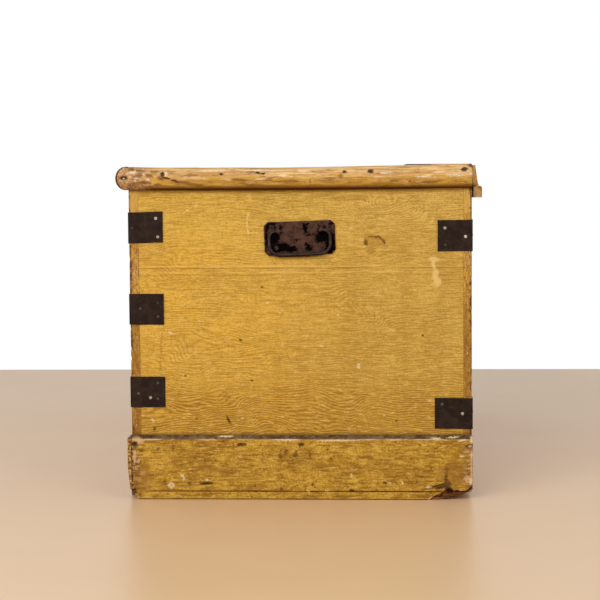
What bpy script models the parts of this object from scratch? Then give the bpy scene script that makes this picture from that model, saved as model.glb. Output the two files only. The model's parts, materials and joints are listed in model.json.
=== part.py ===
"""A painted pine trunk: boarded carcase, plinth, moulded lid, iron straps, drop handles, hinges and a box lock.

Units are metres and +Z is up. The length runs along X, the front faces -Y, and the plinth stands on z = 0.
The lid turns on two hinge pins behind the back boards. The hinge leaves fold flat on each other when it is open.
"""

import math

import bmesh
import bpy
from mathutils import Matrix, Vector

# Clearances
SEAT_GAP = 0.0003  # between two pieces that rest on each other
CUT_OVERRUN = 0.004  # how far a cutter runs past what it cuts
WELD_DISTANCE = 0.000001

# Carcase boards
BODY_LENGTH = 0.900
BODY_DEPTH = 0.4975
RIM_HEIGHT = 0.4656
LONG_WALL = 0.020  # front and back boards
END_WALL = 0.020
FRONT_LAP = 0.014  # what is left of the front board where it laps the end board
BACK_LAP = 0.012
LONG_LOWER_SHARE = 0.3635  # of a wall's height: the top board fills what the lower two leave
LONG_MIDDLE_SHARE = 0.3455
END_LOWER_SHARE = 0.4287
END_MIDDLE_SHARE = 0.2817
ARRIS = 0.0008  # the softened edge of a board

# Base boards
BASE_CLEARANCE = 0.010
BASE_THICKNESS = 0.014
BASE_NAMES = ("front", "middle", "back")

# Plinth
PLINTH_HEIGHT = 0.0940
FRONT_PLINTH = 0.0057
END_PLINTH = 0.0080
PLINTH_CHAMFER = 0.0045
PLINTH_OVERHANG = 0.0010  # the end plinths run this far past the back
CHIP_LENGTH = 0.0640  # the piece broken out of the right plinth's back corner
CHIP_TOE = 0.0230
CHIP_HEIGHT = 0.0105
CHIP_END_HEIGHT = 0.0165
CHIP_END_RISE = 0.0130
CHIP_DEPTH = 0.0050

# Corner straps
STRAP_LEG = 0.0500
STRAP_HEIGHT = 0.0450
STRAP_THICKNESS = 0.0011
UPPER_STRAP_DROP = 0.0675  # from the rim to an upper strap's middle at the front
LOWER_STRAP_RISE = 0.0636  # from the plinth's top to a lower strap's middle at the front
MIDDLE_STRAP_SHARE = 0.506  # how far up the middle strap lies between the other two
BACK_UPPER_STRAP_DROP = 0.0810
BACK_LOWER_STRAP_RISE = 0.0316

# Lid
LID_THICKNESS = 0.0197
LID_NAMES = ("front", "middle", "back")
LIP_GAP = 0.0010  # between the carcase and what hangs over it
LIP_DROP = 0.0120  # how far the mouldings hang below the rim
MOULDING_HEIGHT = 0.0335
MOULDING_THICKNESS = 0.0155
NOSE_SHARE = 0.94  # the rounded part of the moulding's thickness
NOSE_STEPS = 14
STRIP_SEAT = 0.0060  # how far in from the back face the strip meets the lid boards
STRIP_TOP_REACH = 0.0048
STRIP_FOOT_REACH = 0.0089
STRIP_FOOT_GAP = 0.0010

# Back rail
RAIL_DROP = 0.0100  # from the rim to the rail's ledge
RAIL_HEIGHT = 0.0165
RAIL_THICKNESS = 0.0143
RAIL_ROUNDING = 0.0025
RAIL_STEPS = 4

# Hinges
HINGE_INSET = 0.1700  # from the carcase's end to a hinge's middle
HINGE_WIDTH = 0.0380
LEAF_THICKNESS = 0.0020
UPPER_LEAF_REACH = 0.0985
LOWER_LEAF_MARGIN = 0.0010  # the lower leaf ends this far above the rail's underside
KNUCKLE_RADIUS = 0.0030
KNUCKLE_GAP = 0.0004
KNUCKLES = 3
LEAF_TUCK = 0.0007  # how far a leaf runs past the pin's centre, inside its knuckles
PIN_RADIUS = 0.0014
PIN_END = 0.0008  # how far the pin stands out at each side
ROUND_STEPS = 24
BEND_STEPS = 3
BEND_RADIUS = 0.0005  # inside a bend of the leaves and straps

# Handles
HANDLE_DROP = 0.0730  # from the rim to the bail's pivot line
PLATE_WIDTH = 0.1030
PLATE_HEIGHT = 0.0490
PLATE_THICKNESS = 0.0018
PLATE_CORNER = 0.0058
PLATE_DROP = 0.0105  # from the pivot line to the plate's middle
HANDLE_TILTS = {"right": math.radians(1.8), "left": 0.0}
LOOP_SPREAD = 0.0308  # from the plate's middle to a loop's middle
LOOP_WIDTH = 0.0064
LOOP_HEIGHT = 0.0120
LOOP_METAL = 0.0014
LOOP_STEPS = 14
WIRE_RADIUS = 0.0023
BAIL_GAP = 0.0007  # between the hanging bail and the plate
BAIL_WIDTH = 0.0885  # between the wire's centre lines
BAIL_DROP = 0.0335
BAIL_TOP_CORNER = 0.0080
BAIL_FOOT_CORNER = 0.0150
BAIL_STUB = 0.0025  # what shows of each wire end inside its loop
BAIL_CORNER_STEPS = 7

# Lock
LOCK_WIDTH = 0.0900
LOCK_HEIGHT = 0.0560
LOCK_PLATE = 0.0020
LOCK_DROP = 0.0035  # from the rim to the lock's top edge
COVER_WIDTH = 0.0760
COVER_DEPTH = 0.0130
COVER_MARGIN = 0.0020  # the plate stands out this much above and below the cover
COVER_WALL = 0.0015
BOLT_TAIL_ROOM = 0.0030  # between the bolt's tail and the cover's side wall
BOLT_HEIGHT = 0.0080
BOLT_THICKNESS = 0.0035
BOLT_DROP = 0.0110  # from the cover's inner top to the bolt's middle
BOLT_STANDOFF = 0.0025  # from the bolt's end to the eye when unlocked
GUIDE_HEIGHT = 0.0030
KEYHOLE_DROP = 0.0240  # from the bolt's middle to the keyhole's
KEYHOLE_RADIUS = 0.0034
KEYHOLE_SLOT_WIDTH = 0.0030
KEYHOLE_SLOT_DROP = 0.0105
LINK_LENGTH = 0.0600
LINK_DEPTH = 0.0140
LINK_THICKNESS = 0.0018
EYE_THICKNESS = 0.0030
EYE_WIDTH = 0.0080
EYE_RIM = 0.0017  # metal round the eye's hole
EYE_ROOM = 0.0012  # between the eye and the slot that it drops into

# Places worked out from the sizes above
END_X = BODY_LENGTH / 2
FRONT_REACH = LIP_GAP + MOULDING_THICKNESS
BACK_REACH = SEAT_GAP + RAIL_THICKNESS + SEAT_GAP + LEAF_THICKNESS
FRONT_Y = (FRONT_REACH - BACK_REACH - BODY_DEPTH) / 2
BACK_Y = FRONT_Y + BODY_DEPTH
WALL_FOOT = BASE_CLEARANCE + BASE_THICKNESS + SEAT_GAP
LID_END_X = END_X + LIP_GAP
LID_FRONT_Y = FRONT_Y - LIP_GAP
LID_UNDERSIDE = RIM_HEIGHT + SEAT_GAP
LID_TOP = LID_UNDERSIDE + LID_THICKNESS
MOULDING_FOOT = RIM_HEIGHT - LIP_DROP
RAIL_TOP = RIM_HEIGHT - RAIL_DROP
RAIL_REAR_Y = BACK_Y + SEAT_GAP + RAIL_THICKNESS
STRIP_FOOT = RAIL_TOP + STRIP_FOOT_GAP

PIVOT_REACH = PLATE_THICKNESS + BAIL_GAP + WIRE_RADIUS  # from a handle plate's back to its pivot line

# The pin's centre lies one leaf and its gaps off both the strip's leaning face and the rail's ledge
STRIP_LEAN = math.atan2(STRIP_FOOT_REACH - STRIP_TOP_REACH, LID_TOP - STRIP_FOOT)
PIN_OFFSET = SEAT_GAP / 2 + LEAF_THICKNESS + SEAT_GAP
PIN_Z = RAIL_TOP + PIN_OFFSET
PIN_Y = (
    BACK_Y
    + STRIP_FOOT_REACH
    + (PIN_OFFSET - (PIN_Z - STRIP_FOOT) * math.sin(STRIP_LEAN)) / math.cos(STRIP_LEAN)
)

# The lock's places
LOCK_FACE_Y = FRONT_Y + LONG_WALL + SEAT_GAP  # the lock plate's face against the board
LOCK_TOP = RIM_HEIGHT - LOCK_DROP
COVER_FACE_Y = LOCK_FACE_Y + LOCK_PLATE + SEAT_GAP
COVER_BACK_Y = COVER_FACE_Y + COVER_DEPTH
COVER_TOP = LOCK_TOP - COVER_MARGIN
BOLT_Z = COVER_TOP - COVER_WALL - BOLT_DROP
BOLT_Y = (COVER_FACE_Y + COVER_BACK_Y - COVER_WALL) / 2
KEYHOLE_Z = BOLT_Z - KEYHOLE_DROP
BOLT_TIP_X = -EYE_THICKNESS / 2 - BOLT_STANDOFF
BOLT_TAIL_X = BOLT_TAIL_ROOM + COVER_WALL - COVER_WIDTH / 2
EYE_HOLE_ROOM = EYE_WIDTH / 2 - EYE_RIM  # from the hole's middle to its side

# How a flat outline is turned: drawn in XY, in XZ seen from the front, or in YZ seen from the right
IN_XY = (0, 0, 0)
IN_XZ = (math.pi / 2, 0, 0)
IN_YZ = (math.pi / 2, 0, math.pi / 2)


# Scene and materials


def clear_scene():
    for old in list(bpy.data.objects):
        bpy.data.objects.remove(old)


def new_collection(name):
    collection = bpy.data.collections.new(name)
    bpy.context.scene.collection.children.link(collection)
    return collection


def surface(name, colour, roughness, metallic):
    made = bpy.data.materials.get(name)
    if made is None:
        made = bpy.data.materials.new(name)
        made.use_nodes = True
        shader = made.node_tree.nodes["Principled BSDF"]
        shader.inputs["Base Color"].default_value = (*colour, 1)
        shader.inputs["Roughness"].default_value = roughness
        shader.inputs["Metallic"].default_value = metallic
    return made


def painted_pine():
    return surface("painted_pine", (0.60, 0.35, 0.075), 0.55, 0.0)


def painted_plinth():
    return surface("painted_plinth", (0.42, 0.22, 0.035), 0.60, 0.0)


def worn_moulding():
    return surface("worn_moulding", (0.58, 0.33, 0.13), 0.60, 0.0)


def bare_pine():
    return surface("bare_pine", (0.62, 0.42, 0.22), 0.70, 0.0)


def strap_iron():
    return surface("strap_iron", (0.030, 0.022, 0.019), 0.60, 0.3)


def handle_iron():
    return surface("handle_iron", (0.040, 0.021, 0.017), 0.45, 0.4)


def hinge_iron():
    return surface("hinge_iron", (0.045, 0.030, 0.022), 0.55, 0.6)


def lock_iron():
    return surface("lock_iron", (0.060, 0.045, 0.035), 0.50, 0.7)


# Modelling helpers


def add_object(name, data, material=None):
    piece = bpy.data.objects.new(name, data)
    PARTS.objects.link(piece)
    if material is not None:
        data.materials.append(material)
    return piece


def as_cutter(piece):
    """Keeps a piece as a tool for a Boolean: drawn as wire and left out of the trunk."""
    PARTS.objects.unlink(piece)
    CUTTERS.objects.link(piece)
    piece.hide_render = True
    piece.display_type = "WIRE"
    return piece


def combine(piece, tool, operation):
    step = piece.modifiers.new(f"{operation.lower()} {tool.name}", "BOOLEAN")
    step.operation = operation
    step.object = tool


def cut(piece, *tools):
    for tool in tools:
        combine(piece, tool, "DIFFERENCE")


def fuse(piece, *tools):
    for tool in tools:
        combine(piece, tool, "UNION")


def soften(piece, width):
    """Takes the sharpness off every edge of a board."""
    step = piece.modifiers.new("arris", "BEVEL")
    step.width = width
    step.segments = 1


def shade_round(mesh):
    mesh.shade_smooth()
    mesh.set_sharp_from_angle(angle=math.radians(35))


def box(name, low, high, material=None):
    """A box between two corners, with its origin at its middle."""
    low, high = Vector(low), Vector(high)
    shape = bmesh.new()
    bmesh.ops.create_cube(shape, size=1)
    bmesh.ops.scale(shape, vec=high - low, verts=shape.verts)
    mesh = bpy.data.meshes.new(name)
    shape.to_mesh(mesh)
    shape.free()
    piece = add_object(name, mesh, material)
    piece.location = (low + high) / 2
    return piece


def board(name, low, high, material):
    piece = box(name, low, high, material)
    soften(piece, ARRIS)
    return piece


def rod(name, centre, radius, length, turn, material=None):
    """A round bar of the given length about its centre, along the outline's normal of a turn."""
    shape = bmesh.new()
    bmesh.ops.create_cone(
        shape, cap_ends=True, segments=ROUND_STEPS, radius1=radius, radius2=radius, depth=length
    )
    mesh = bpy.data.meshes.new(name)
    shape.to_mesh(mesh)
    shape.free()
    shade_round(mesh)
    piece = add_object(name, mesh, material)
    piece.location = centre
    piece.rotation_euler = turn
    return piece


def as_mesh(drawn):
    """Turns a drawn curve into a mesh whose caps are joined to its sides."""
    bpy.context.view_layer.update()
    graph = bpy.context.evaluated_depsgraph_get()
    mesh = bpy.data.meshes.new_from_object(drawn.evaluated_get(graph))
    shape = bmesh.new()
    shape.from_mesh(mesh)
    bmesh.ops.remove_doubles(shape, verts=shape.verts, dist=WELD_DISTANCE)
    shape.to_mesh(mesh)
    shape.free()
    name, placed = drawn.name, drawn.matrix_world.copy()
    bpy.data.objects.remove(drawn)
    piece = bpy.data.objects.new(name, mesh)
    PARTS.objects.link(piece)
    piece.matrix_world = placed
    return piece


def prism(name, outline, thickness, centre, turn, material=None):
    """A flat outline given half its thickness to each side of its own plane."""
    curve = bpy.data.curves.new(name, "CURVE")
    curve.dimensions = "2D"
    curve.fill_mode = "BOTH"
    curve.extrude = thickness / 2
    spline = curve.splines.new("POLY")
    spline.points.add(len(outline) - 1)
    for point, (across, up) in zip(spline.points, outline):
        point.co = (across, up, 0, 1)
    spline.use_cyclic_u = True
    drawn = add_object(name, curve, material)
    drawn.location = centre
    drawn.rotation_euler = turn
    return as_mesh(drawn)


def arc(centre, across_radius, up_radius, start, end, steps):
    """Points on a quarter, half or other stretch of a circle or ellipse, both ends included."""
    turns = [start + (end - start) * i / steps for i in range(steps + 1)]
    return [
        (centre[0] + across_radius * math.cos(a), centre[1] + up_radius * math.sin(a)) for a in turns
    ]


def bent_sheet(path, thickness):
    """The outline of sheet metal bent to the left along a path on its inner face, with rounded bends."""
    points = [Vector(p) for p in path]
    runs = [(b - a).normalized() for a, b in zip(points, points[1:])]
    facing = [Vector((run.y, -run.x)) for run in runs]
    inner, outer = [tuple(points[0])], [tuple(points[0] + facing[0] * thickness)]
    for point, before, after in zip(points[1:], facing, facing[1:]):
        centre = point - (before + after) * BEND_RADIUS / (1 + before.dot(after))
        start = math.atan2(before.y, before.x)
        end = start + before.angle(after)
        inner += arc(centre, BEND_RADIUS, BEND_RADIUS, start, end, BEND_STEPS)
        outer += arc(centre, BEND_RADIUS + thickness, BEND_RADIUS + thickness, start, end, BEND_STEPS)
    inner.append(tuple(points[-1]))
    outer.append(tuple(points[-1] + facing[-1] * thickness))
    return inner + outer[::-1]


def hang(piece, carrier):
    """Parents a piece to an empty without moving it."""
    piece.parent = carrier
    piece.matrix_parent_inverse = Matrix.Translation(-carrier.location)


def empty(name, place):
    holder = add_object(name, None)
    holder.location = place
    return holder


# Carcase


def corner_rebates():
    """Four upright cutters that thin the ends of the front and back boards to their laps."""
    cutters = {}
    for wall, lap_y, inner_y in (
        ("front", FRONT_Y + FRONT_LAP, FRONT_Y + LONG_WALL + CUT_OVERRUN),
        ("back", BACK_Y - LONG_WALL - CUT_OVERRUN, BACK_Y - BACK_LAP),
    ):
        for end, side in (("right", 1), ("left", -1)):
            xs = sorted((side * (END_X - END_WALL - SEAT_GAP), side * (END_X + CUT_OVERRUN)))
            low = (xs[0], lap_y, WALL_FOOT - CUT_OVERRUN)
            high = (xs[1], inner_y, RIM_HEIGHT + CUT_OVERRUN)
            cutters[wall, end] = as_cutter(box(f"{wall}_{end}_rebate", low, high))
    return cutters


def wall_levels(lower_share, middle_share):
    """The foot and top of the three boards of a wall, which meet edge to edge."""
    height = RIM_HEIGHT - WALL_FOOT
    first = WALL_FOOT + height * lower_share
    second = first + height * middle_share
    return {
        "lower": (WALL_FOOT, first),
        "middle": (first + SEAT_GAP, second),
        "upper": (second + SEAT_GAP, RIM_HEIGHT),
    }


def long_walls():
    rebates = corner_rebates()
    boards = {}
    for wall, low_y in (("front", FRONT_Y), ("back", BACK_Y - LONG_WALL)):
        for level, (foot, top) in wall_levels(LONG_LOWER_SHARE, LONG_MIDDLE_SHARE).items():
            low = (-END_X, low_y, foot)
            high = (END_X, low_y + LONG_WALL, top)
            piece = board(f"{wall}_{level}_board", low, high, painted_pine())
            cut(piece, rebates[wall, "right"], rebates[wall, "left"])
            boards[wall, level] = piece
    return boards


def end_walls():
    for end, side in (("right", 1), ("left", -1)):
        xs = sorted((side * (END_X - END_WALL), side * END_X))
        for level, (foot, top) in wall_levels(END_LOWER_SHARE, END_MIDDLE_SHARE).items():
            low = (xs[0], FRONT_Y + FRONT_LAP + SEAT_GAP, foot)
            high = (xs[1], BACK_Y - BACK_LAP - SEAT_GAP, top)
            board(f"{end}_end_{level}_board", low, high, painted_pine())


def base_boards():
    width = (BODY_DEPTH - SEAT_GAP * (len(BASE_NAMES) - 1)) / len(BASE_NAMES)
    for i, place in enumerate(BASE_NAMES):
        low_y = FRONT_Y + i * (width + SEAT_GAP)
        low = (-END_X, low_y, BASE_CLEARANCE)
        high = (END_X, low_y + width, BASE_CLEARANCE + BASE_THICKNESS)
        board(f"base_{place}_board", low, high, bare_pine())


def plinth_profile(thickness):
    """A plinth board's section, its back face at 0 and its chamfered face outward."""
    return [
        (0, 0),
        (thickness, 0),
        (thickness, PLINTH_HEIGHT - PLINTH_CHAMFER),
        (thickness - PLINTH_CHAMFER, PLINTH_HEIGHT),
        (0, PLINTH_HEIGHT),
    ]


def front_plinth():
    face_y = FRONT_Y - SEAT_GAP
    outline = [(face_y - out, up) for out, up in plinth_profile(FRONT_PLINTH)]
    length = 2 * (END_X + SEAT_GAP + END_PLINTH)
    prism("front_plinth", outline, length, (0, 0, 0), IN_YZ, painted_plinth())


def broken_corner():
    """The splintered bite out of the foot of the right plinth, at its back end."""
    back_y = BACK_Y + PLINTH_OVERHANG
    outline = [
        (back_y - CHIP_LENGTH, -CUT_OVERRUN),
        (back_y - CHIP_LENGTH, 0),
        (back_y - CHIP_LENGTH + CHIP_TOE, CHIP_HEIGHT),
        (back_y - CHIP_END_RISE, CHIP_HEIGHT),
        (back_y, CHIP_END_HEIGHT),
        (back_y + CUT_OVERRUN, CHIP_END_HEIGHT),
        (back_y + CUT_OVERRUN, -CUT_OVERRUN),
    ]
    thickness = CHIP_DEPTH + CUT_OVERRUN
    middle_x = END_X + SEAT_GAP + END_PLINTH - CHIP_DEPTH + thickness / 2
    return as_cutter(prism("broken_corner", outline, thickness, (middle_x, 0, 0), IN_YZ))


def end_plinths():
    low_y, high_y = FRONT_Y, BACK_Y + PLINTH_OVERHANG
    for end, side in (("right", 1), ("left", -1)):
        face_x = END_X + SEAT_GAP
        outline = [(side * (face_x + out), up) for out, up in plinth_profile(END_PLINTH)]
        middle = (0, (low_y + high_y) / 2, 0)
        piece = prism(f"{end}_plinth", outline, high_y - low_y, middle, IN_XZ, painted_plinth())
        if end == "right":
            cut(piece, broken_corner())


def corner_strap_mesh():
    """An iron strap bent round a corner, drawn for the front right one with its inner corner at 0."""
    path = [(-STRAP_LEG, 0), (0, 0), (0, STRAP_LEG)]
    outline = bent_sheet(path, STRAP_THICKNESS)
    pattern = prism("strap_pattern", outline, STRAP_HEIGHT, (0, 0, 0), IN_XY, strap_iron())
    mesh = pattern.data
    bpy.data.objects.remove(pattern)
    return mesh


def strap_heights():
    """How high the middle of each strap lies at the front corners and at the back ones."""
    upper, lower = RIM_HEIGHT - UPPER_STRAP_DROP, PLINTH_HEIGHT + LOWER_STRAP_RISE
    middle = lower + (upper - lower) * MIDDLE_STRAP_SHARE
    front = {"lower": lower, "middle": middle, "upper": upper}
    back = {"lower": PLINTH_HEIGHT + BACK_LOWER_STRAP_RISE, "upper": RIM_HEIGHT - BACK_UPPER_STRAP_DROP}
    return front, back


def corner_straps():
    mesh = corner_strap_mesh()
    front_heights, back_heights = strap_heights()
    right_x, left_x = END_X + SEAT_GAP, -END_X - SEAT_GAP
    front_y, back_y = FRONT_Y - SEAT_GAP, BACK_Y + SEAT_GAP
    corners = (
        ("front_right", right_x, front_y, front_heights),
        ("back_right", right_x, back_y, back_heights),
        ("back_left", left_x, back_y, back_heights),
        ("front_left", left_x, front_y, front_heights),
    )
    for quarter, (corner, x, y, heights) in enumerate(corners):
        for level, height in heights.items():
            piece = bpy.data.objects.new(f"{corner}_{level}_strap", mesh)
            PARTS.objects.link(piece)
            piece.location = (x, y, height)
            piece.rotation_euler = (0, 0, quarter * math.pi / 2)


def back_rail():
    """The batten behind the rim whose ledge carries the hinges' lower leaves."""
    inner_y, foot = BACK_Y + SEAT_GAP, RAIL_TOP - RAIL_HEIGHT
    corner = (RAIL_REAR_Y - RAIL_ROUNDING, RAIL_TOP - RAIL_ROUNDING)
    outline = [(inner_y, foot), (RAIL_REAR_Y, foot)]
    outline += arc(corner, RAIL_ROUNDING, RAIL_ROUNDING, 0, math.pi / 2, RAIL_STEPS)
    outline += [(inner_y, RAIL_TOP)]
    return prism("back_rail", outline, BODY_LENGTH, (0, 0, 0), IN_YZ, painted_pine())


# Lid


def lid_boards():
    front_y = LID_FRONT_Y + SEAT_GAP
    depth = BACK_Y - STRIP_SEAT - front_y
    width = (depth - SEAT_GAP * (len(LID_NAMES) - 1)) / len(LID_NAMES)
    end_x = LID_END_X - SEAT_GAP
    pieces = []
    for i, place in enumerate(LID_NAMES):
        low_y = front_y + i * (width + SEAT_GAP)
        low = (-end_x, low_y, LID_UNDERSIDE)
        high = (end_x, low_y + width, LID_TOP)
        pieces.append(board(f"lid_{place}_board", low, high, painted_pine()))
    return pieces


def moulding_profile():
    """The half-round edge moulding's section: its seat at 0 and its nose outward."""
    nose = MOULDING_THICKNESS * NOSE_SHARE
    root = MOULDING_THICKNESS - nose
    half = MOULDING_HEIGHT / 2
    middle = (root, MOULDING_FOOT + half)
    curve = arc(middle, nose, half, -math.pi / 2, math.pi / 2, NOSE_STEPS)
    return [(0, MOULDING_FOOT)] + curve + [(0, MOULDING_FOOT + MOULDING_HEIGHT)]


def mitre_cutter(name, side, outward):
    """Cuts away what lies past the mitre of a front corner: outward 1 trims the front moulding, -1 the end's."""
    size = 4 * MOULDING_THICKNESS
    low = (-size / 2, -size / 2, MOULDING_FOOT - CUT_OVERRUN)
    high = (size / 2, size / 2, MOULDING_FOOT + MOULDING_HEIGHT + CUT_OVERRUN)
    cutter = box(name, low, high)
    away = Vector((side, 1, 0)).normalized() * outward
    shift = away * (size / 2 - SEAT_GAP / 2)
    cutter.location += Vector((side * LID_END_X, LID_FRONT_Y, 0)) + shift
    cutter.rotation_euler = (0, 0, math.pi / 4)
    return as_cutter(cutter)


def front_moulding():
    outline = [(LID_FRONT_Y - out, up) for out, up in moulding_profile()]
    length = 2 * (LID_END_X + MOULDING_THICKNESS)
    piece = prism("lid_front_moulding", outline, length, (0, 0, 0), IN_YZ, worn_moulding())
    cut(piece, mitre_cutter("front_mitre_right", 1, 1), mitre_cutter("front_mitre_left", -1, 1))
    shade_round(piece.data)
    return piece


def end_mouldings():
    low_y, high_y = LID_FRONT_Y - MOULDING_THICKNESS, BACK_Y
    pieces = []
    for end, side in (("right", 1), ("left", -1)):
        outline = [(side * (LID_END_X + out), up) for out, up in moulding_profile()]
        middle = (0, (low_y + high_y) / 2, 0)
        name = f"lid_{end}_moulding"
        piece = prism(name, outline, high_y - low_y, middle, IN_XZ, worn_moulding())
        cut(piece, mitre_cutter(f"{end}_mitre", side, -1))
        shade_round(piece.data)
        pieces.append(piece)
    return pieces


def back_strip():
    """The strip on the lid's back edge: rebated over the back board, with a face that leans out at its foot."""
    seat_y = BACK_Y - STRIP_SEAT + SEAT_GAP
    lip_y = BACK_Y + LIP_GAP
    outline = [
        (seat_y, LID_UNDERSIDE),
        (lip_y, LID_UNDERSIDE),
        (lip_y, STRIP_FOOT),
        (BACK_Y + STRIP_FOOT_REACH, STRIP_FOOT),
        (BACK_Y + STRIP_TOP_REACH, LID_TOP),
        (seat_y, LID_TOP),
    ]
    length = 2 * (LID_END_X - SEAT_GAP)
    return prism("lid_back_strip", outline, length, (0, 0, 0), IN_YZ, painted_pine())


# Hinges


def upper_leaf_outline():
    """Up the strip's leaning face from the pin, then forward on the lid's top."""
    up = Vector((-math.sin(STRIP_LEAN), math.cos(STRIP_LEAN)))
    out = Vector((math.cos(STRIP_LEAN), math.sin(STRIP_LEAN)))
    foot = Vector((PIN_Y, PIN_Z)) - out * (SEAT_GAP / 2 + LEAF_THICKNESS) - up * LEAF_TUCK
    rise = (LID_TOP + SEAT_GAP - foot.y) / up.y
    bend = foot + up * rise
    return bent_sheet([foot, bend, (bend.x - UPPER_LEAF_REACH, bend.y)], LEAF_THICKNESS)


def lower_leaf_outline():
    """Down the rail's back from its ledge, with the ledge part ending under the pin."""
    rear_y, ledge_z = RAIL_REAR_Y + SEAT_GAP, RAIL_TOP + SEAT_GAP
    foot_z = RAIL_TOP - RAIL_HEIGHT + LOWER_LEAF_MARGIN
    inner_y = PIN_Y - LEAF_TUCK
    return bent_sheet([(rear_y, foot_z), (rear_y, ledge_z), (inner_y, ledge_z)], LEAF_THICKNESS)


def hinge(side, middle_x, wood):
    """One hinge: two leaves with interlocking knuckles and a pin, and its groove in the wood behind."""
    pitch = HINGE_WIDTH / KNUCKLES
    spans = [middle_x + (i - (KNUCKLES - 1) / 2) * pitch for i in range(KNUCKLES)]
    clear_radius = KNUCKLE_RADIUS + KNUCKLE_GAP
    centre = (middle_x, PIN_Y, PIN_Z)

    def barrel(name, x, radius, length):
        return as_cutter(rod(f"{side}_{name}", (x, PIN_Y, PIN_Z), radius, length, IN_YZ))

    groove = barrel("hinge_groove", middle_x, clear_radius, HINGE_WIDTH + 2 * KNUCKLE_GAP)
    for piece in wood:
        cut(piece, groove)
    bore = barrel("hinge_bore", middle_x, PIN_RADIUS + SEAT_GAP, HINGE_WIDTH + 2 * CUT_OVERRUN)
    at_leaf = (middle_x, 0, 0)
    upper = prism(
        f"{side}_hinge_upper_leaf", upper_leaf_outline(), HINGE_WIDTH, at_leaf, IN_YZ, hinge_iron()
    )
    lower = prism(
        f"{side}_hinge_lower_leaf", lower_leaf_outline(), HINGE_WIDTH, at_leaf, IN_YZ, hinge_iron()
    )
    for i, x in enumerate(spans):
        own, other = (upper, lower) if i % 2 else (lower, upper)
        past_edge = (x - middle_x) / pitch * CUT_OVERRUN / 2
        room = barrel(f"knuckle_room_{i}", x + past_edge, clear_radius, pitch + 2 * abs(past_edge))
        cut(other, room)
        fuse(own, barrel(f"knuckle_{i}", x, KNUCKLE_RADIUS, pitch - 2 * KNUCKLE_GAP))
    for leaf in (upper, lower):
        cut(leaf, bore)
    rod(f"{side}_hinge_pin", centre, PIN_RADIUS, HINGE_WIDTH + 2 * PIN_END, IN_YZ, hinge_iron())
    return upper


# Handles


def plate_outline():
    """The handle plate with its four corners clipped, about the bail's pivot line."""
    half, low, high = PLATE_WIDTH / 2, -PLATE_DROP - PLATE_HEIGHT / 2, -PLATE_DROP + PLATE_HEIGHT / 2
    return [
        (-half + PLATE_CORNER, low),
        (half - PLATE_CORNER, low),
        (half, low + PLATE_CORNER),
        (half, high - PLATE_CORNER),
        (half - PLATE_CORNER, high),
        (-half + PLATE_CORNER, high),
        (-half, high - PLATE_CORNER),
        (-half, low + PLATE_CORNER),
    ]


def handle_plate(end, pivot):
    """The plate lies in the pivot's YZ plane, set back from it, and its two loops arch over the bail's wire."""
    middle = (PLATE_THICKNESS / 2 - PIVOT_REACH, 0, 0)
    name = f"{end}_handle_plate"
    plate = prism(name, plate_outline(), PLATE_THICKNESS, middle, IN_YZ, handle_iron())
    plate.parent = pivot
    crown = PIVOT_REACH + WIRE_RADIUS + SEAT_GAP + LOOP_METAL - PLATE_THICKNESS / 2
    root_x = PLATE_THICKNESS / 2 - PIVOT_REACH
    arch = arc((root_x, 0), crown, LOOP_HEIGHT / 2, -math.pi / 2, math.pi / 2, LOOP_STEPS)
    for i, spread in enumerate((-LOOP_SPREAD, LOOP_SPREAD)):
        loop = as_cutter(prism(f"{end}_loop_{i}", arch, LOOP_WIDTH, (0, spread, 0), IN_XZ))
        loop.parent = pivot
        fuse(plate, loop)
    length = 2 * (LOOP_SPREAD + LOOP_WIDTH)
    bore = as_cutter(rod(f"{end}_pivot_bore", (0, 0, 0), WIRE_RADIUS + SEAT_GAP, length, IN_XZ))
    bore.parent = pivot
    cut(plate, bore)


def bail_half():
    """The bail's right half from its end in the loop, round the side, to the middle of its foot."""
    half = BAIL_WIDTH / 2
    inner_end = LOOP_SPREAD - LOOP_WIDTH / 2 - BAIL_STUB
    top_centre = (half - BAIL_TOP_CORNER, -BAIL_TOP_CORNER)
    foot_centre = (half - BAIL_FOOT_CORNER, BAIL_FOOT_CORNER - BAIL_DROP)
    steps = BAIL_CORNER_STEPS
    points = [(inner_end, 0)]
    points += arc(top_centre, BAIL_TOP_CORNER, BAIL_TOP_CORNER, math.pi / 2, 0, steps)
    points += arc(foot_centre, BAIL_FOOT_CORNER, BAIL_FOOT_CORNER, 0, -math.pi / 2, steps)
    return points


def handle_bail(end, pivot):
    right = bail_half()
    points = right + [(-across, up) for across, up in reversed(right)]
    curve = bpy.data.curves.new(f"{end}_handle_bail", "CURVE")
    curve.dimensions = "3D"
    curve.bevel_depth = WIRE_RADIUS
    curve.bevel_resolution = 3
    curve.use_fill_caps = True
    spline = curve.splines.new("POLY")
    spline.points.add(len(points) - 1)
    for point, (across, up) in zip(spline.points, points):
        point.co = (0, across, up, 1)
    bail = add_object(f"{end}_handle_bail", curve, handle_iron())
    bail.parent = pivot


def handles():
    middle_y = (FRONT_Y + BACK_Y) / 2
    for end, side, turn in (("right", 1, 0), ("left", -1, math.pi)):
        pivot_x = side * (END_X + SEAT_GAP + PIVOT_REACH)
        pivot = empty(f"{end}_handle_pivot", (pivot_x, middle_y, RIM_HEIGHT - HANDLE_DROP))
        pivot.rotation_euler = (HANDLE_TILTS[end], 0, turn)
        handle_plate(end, pivot)
        handle_bail(end, pivot)


# Lock


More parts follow.
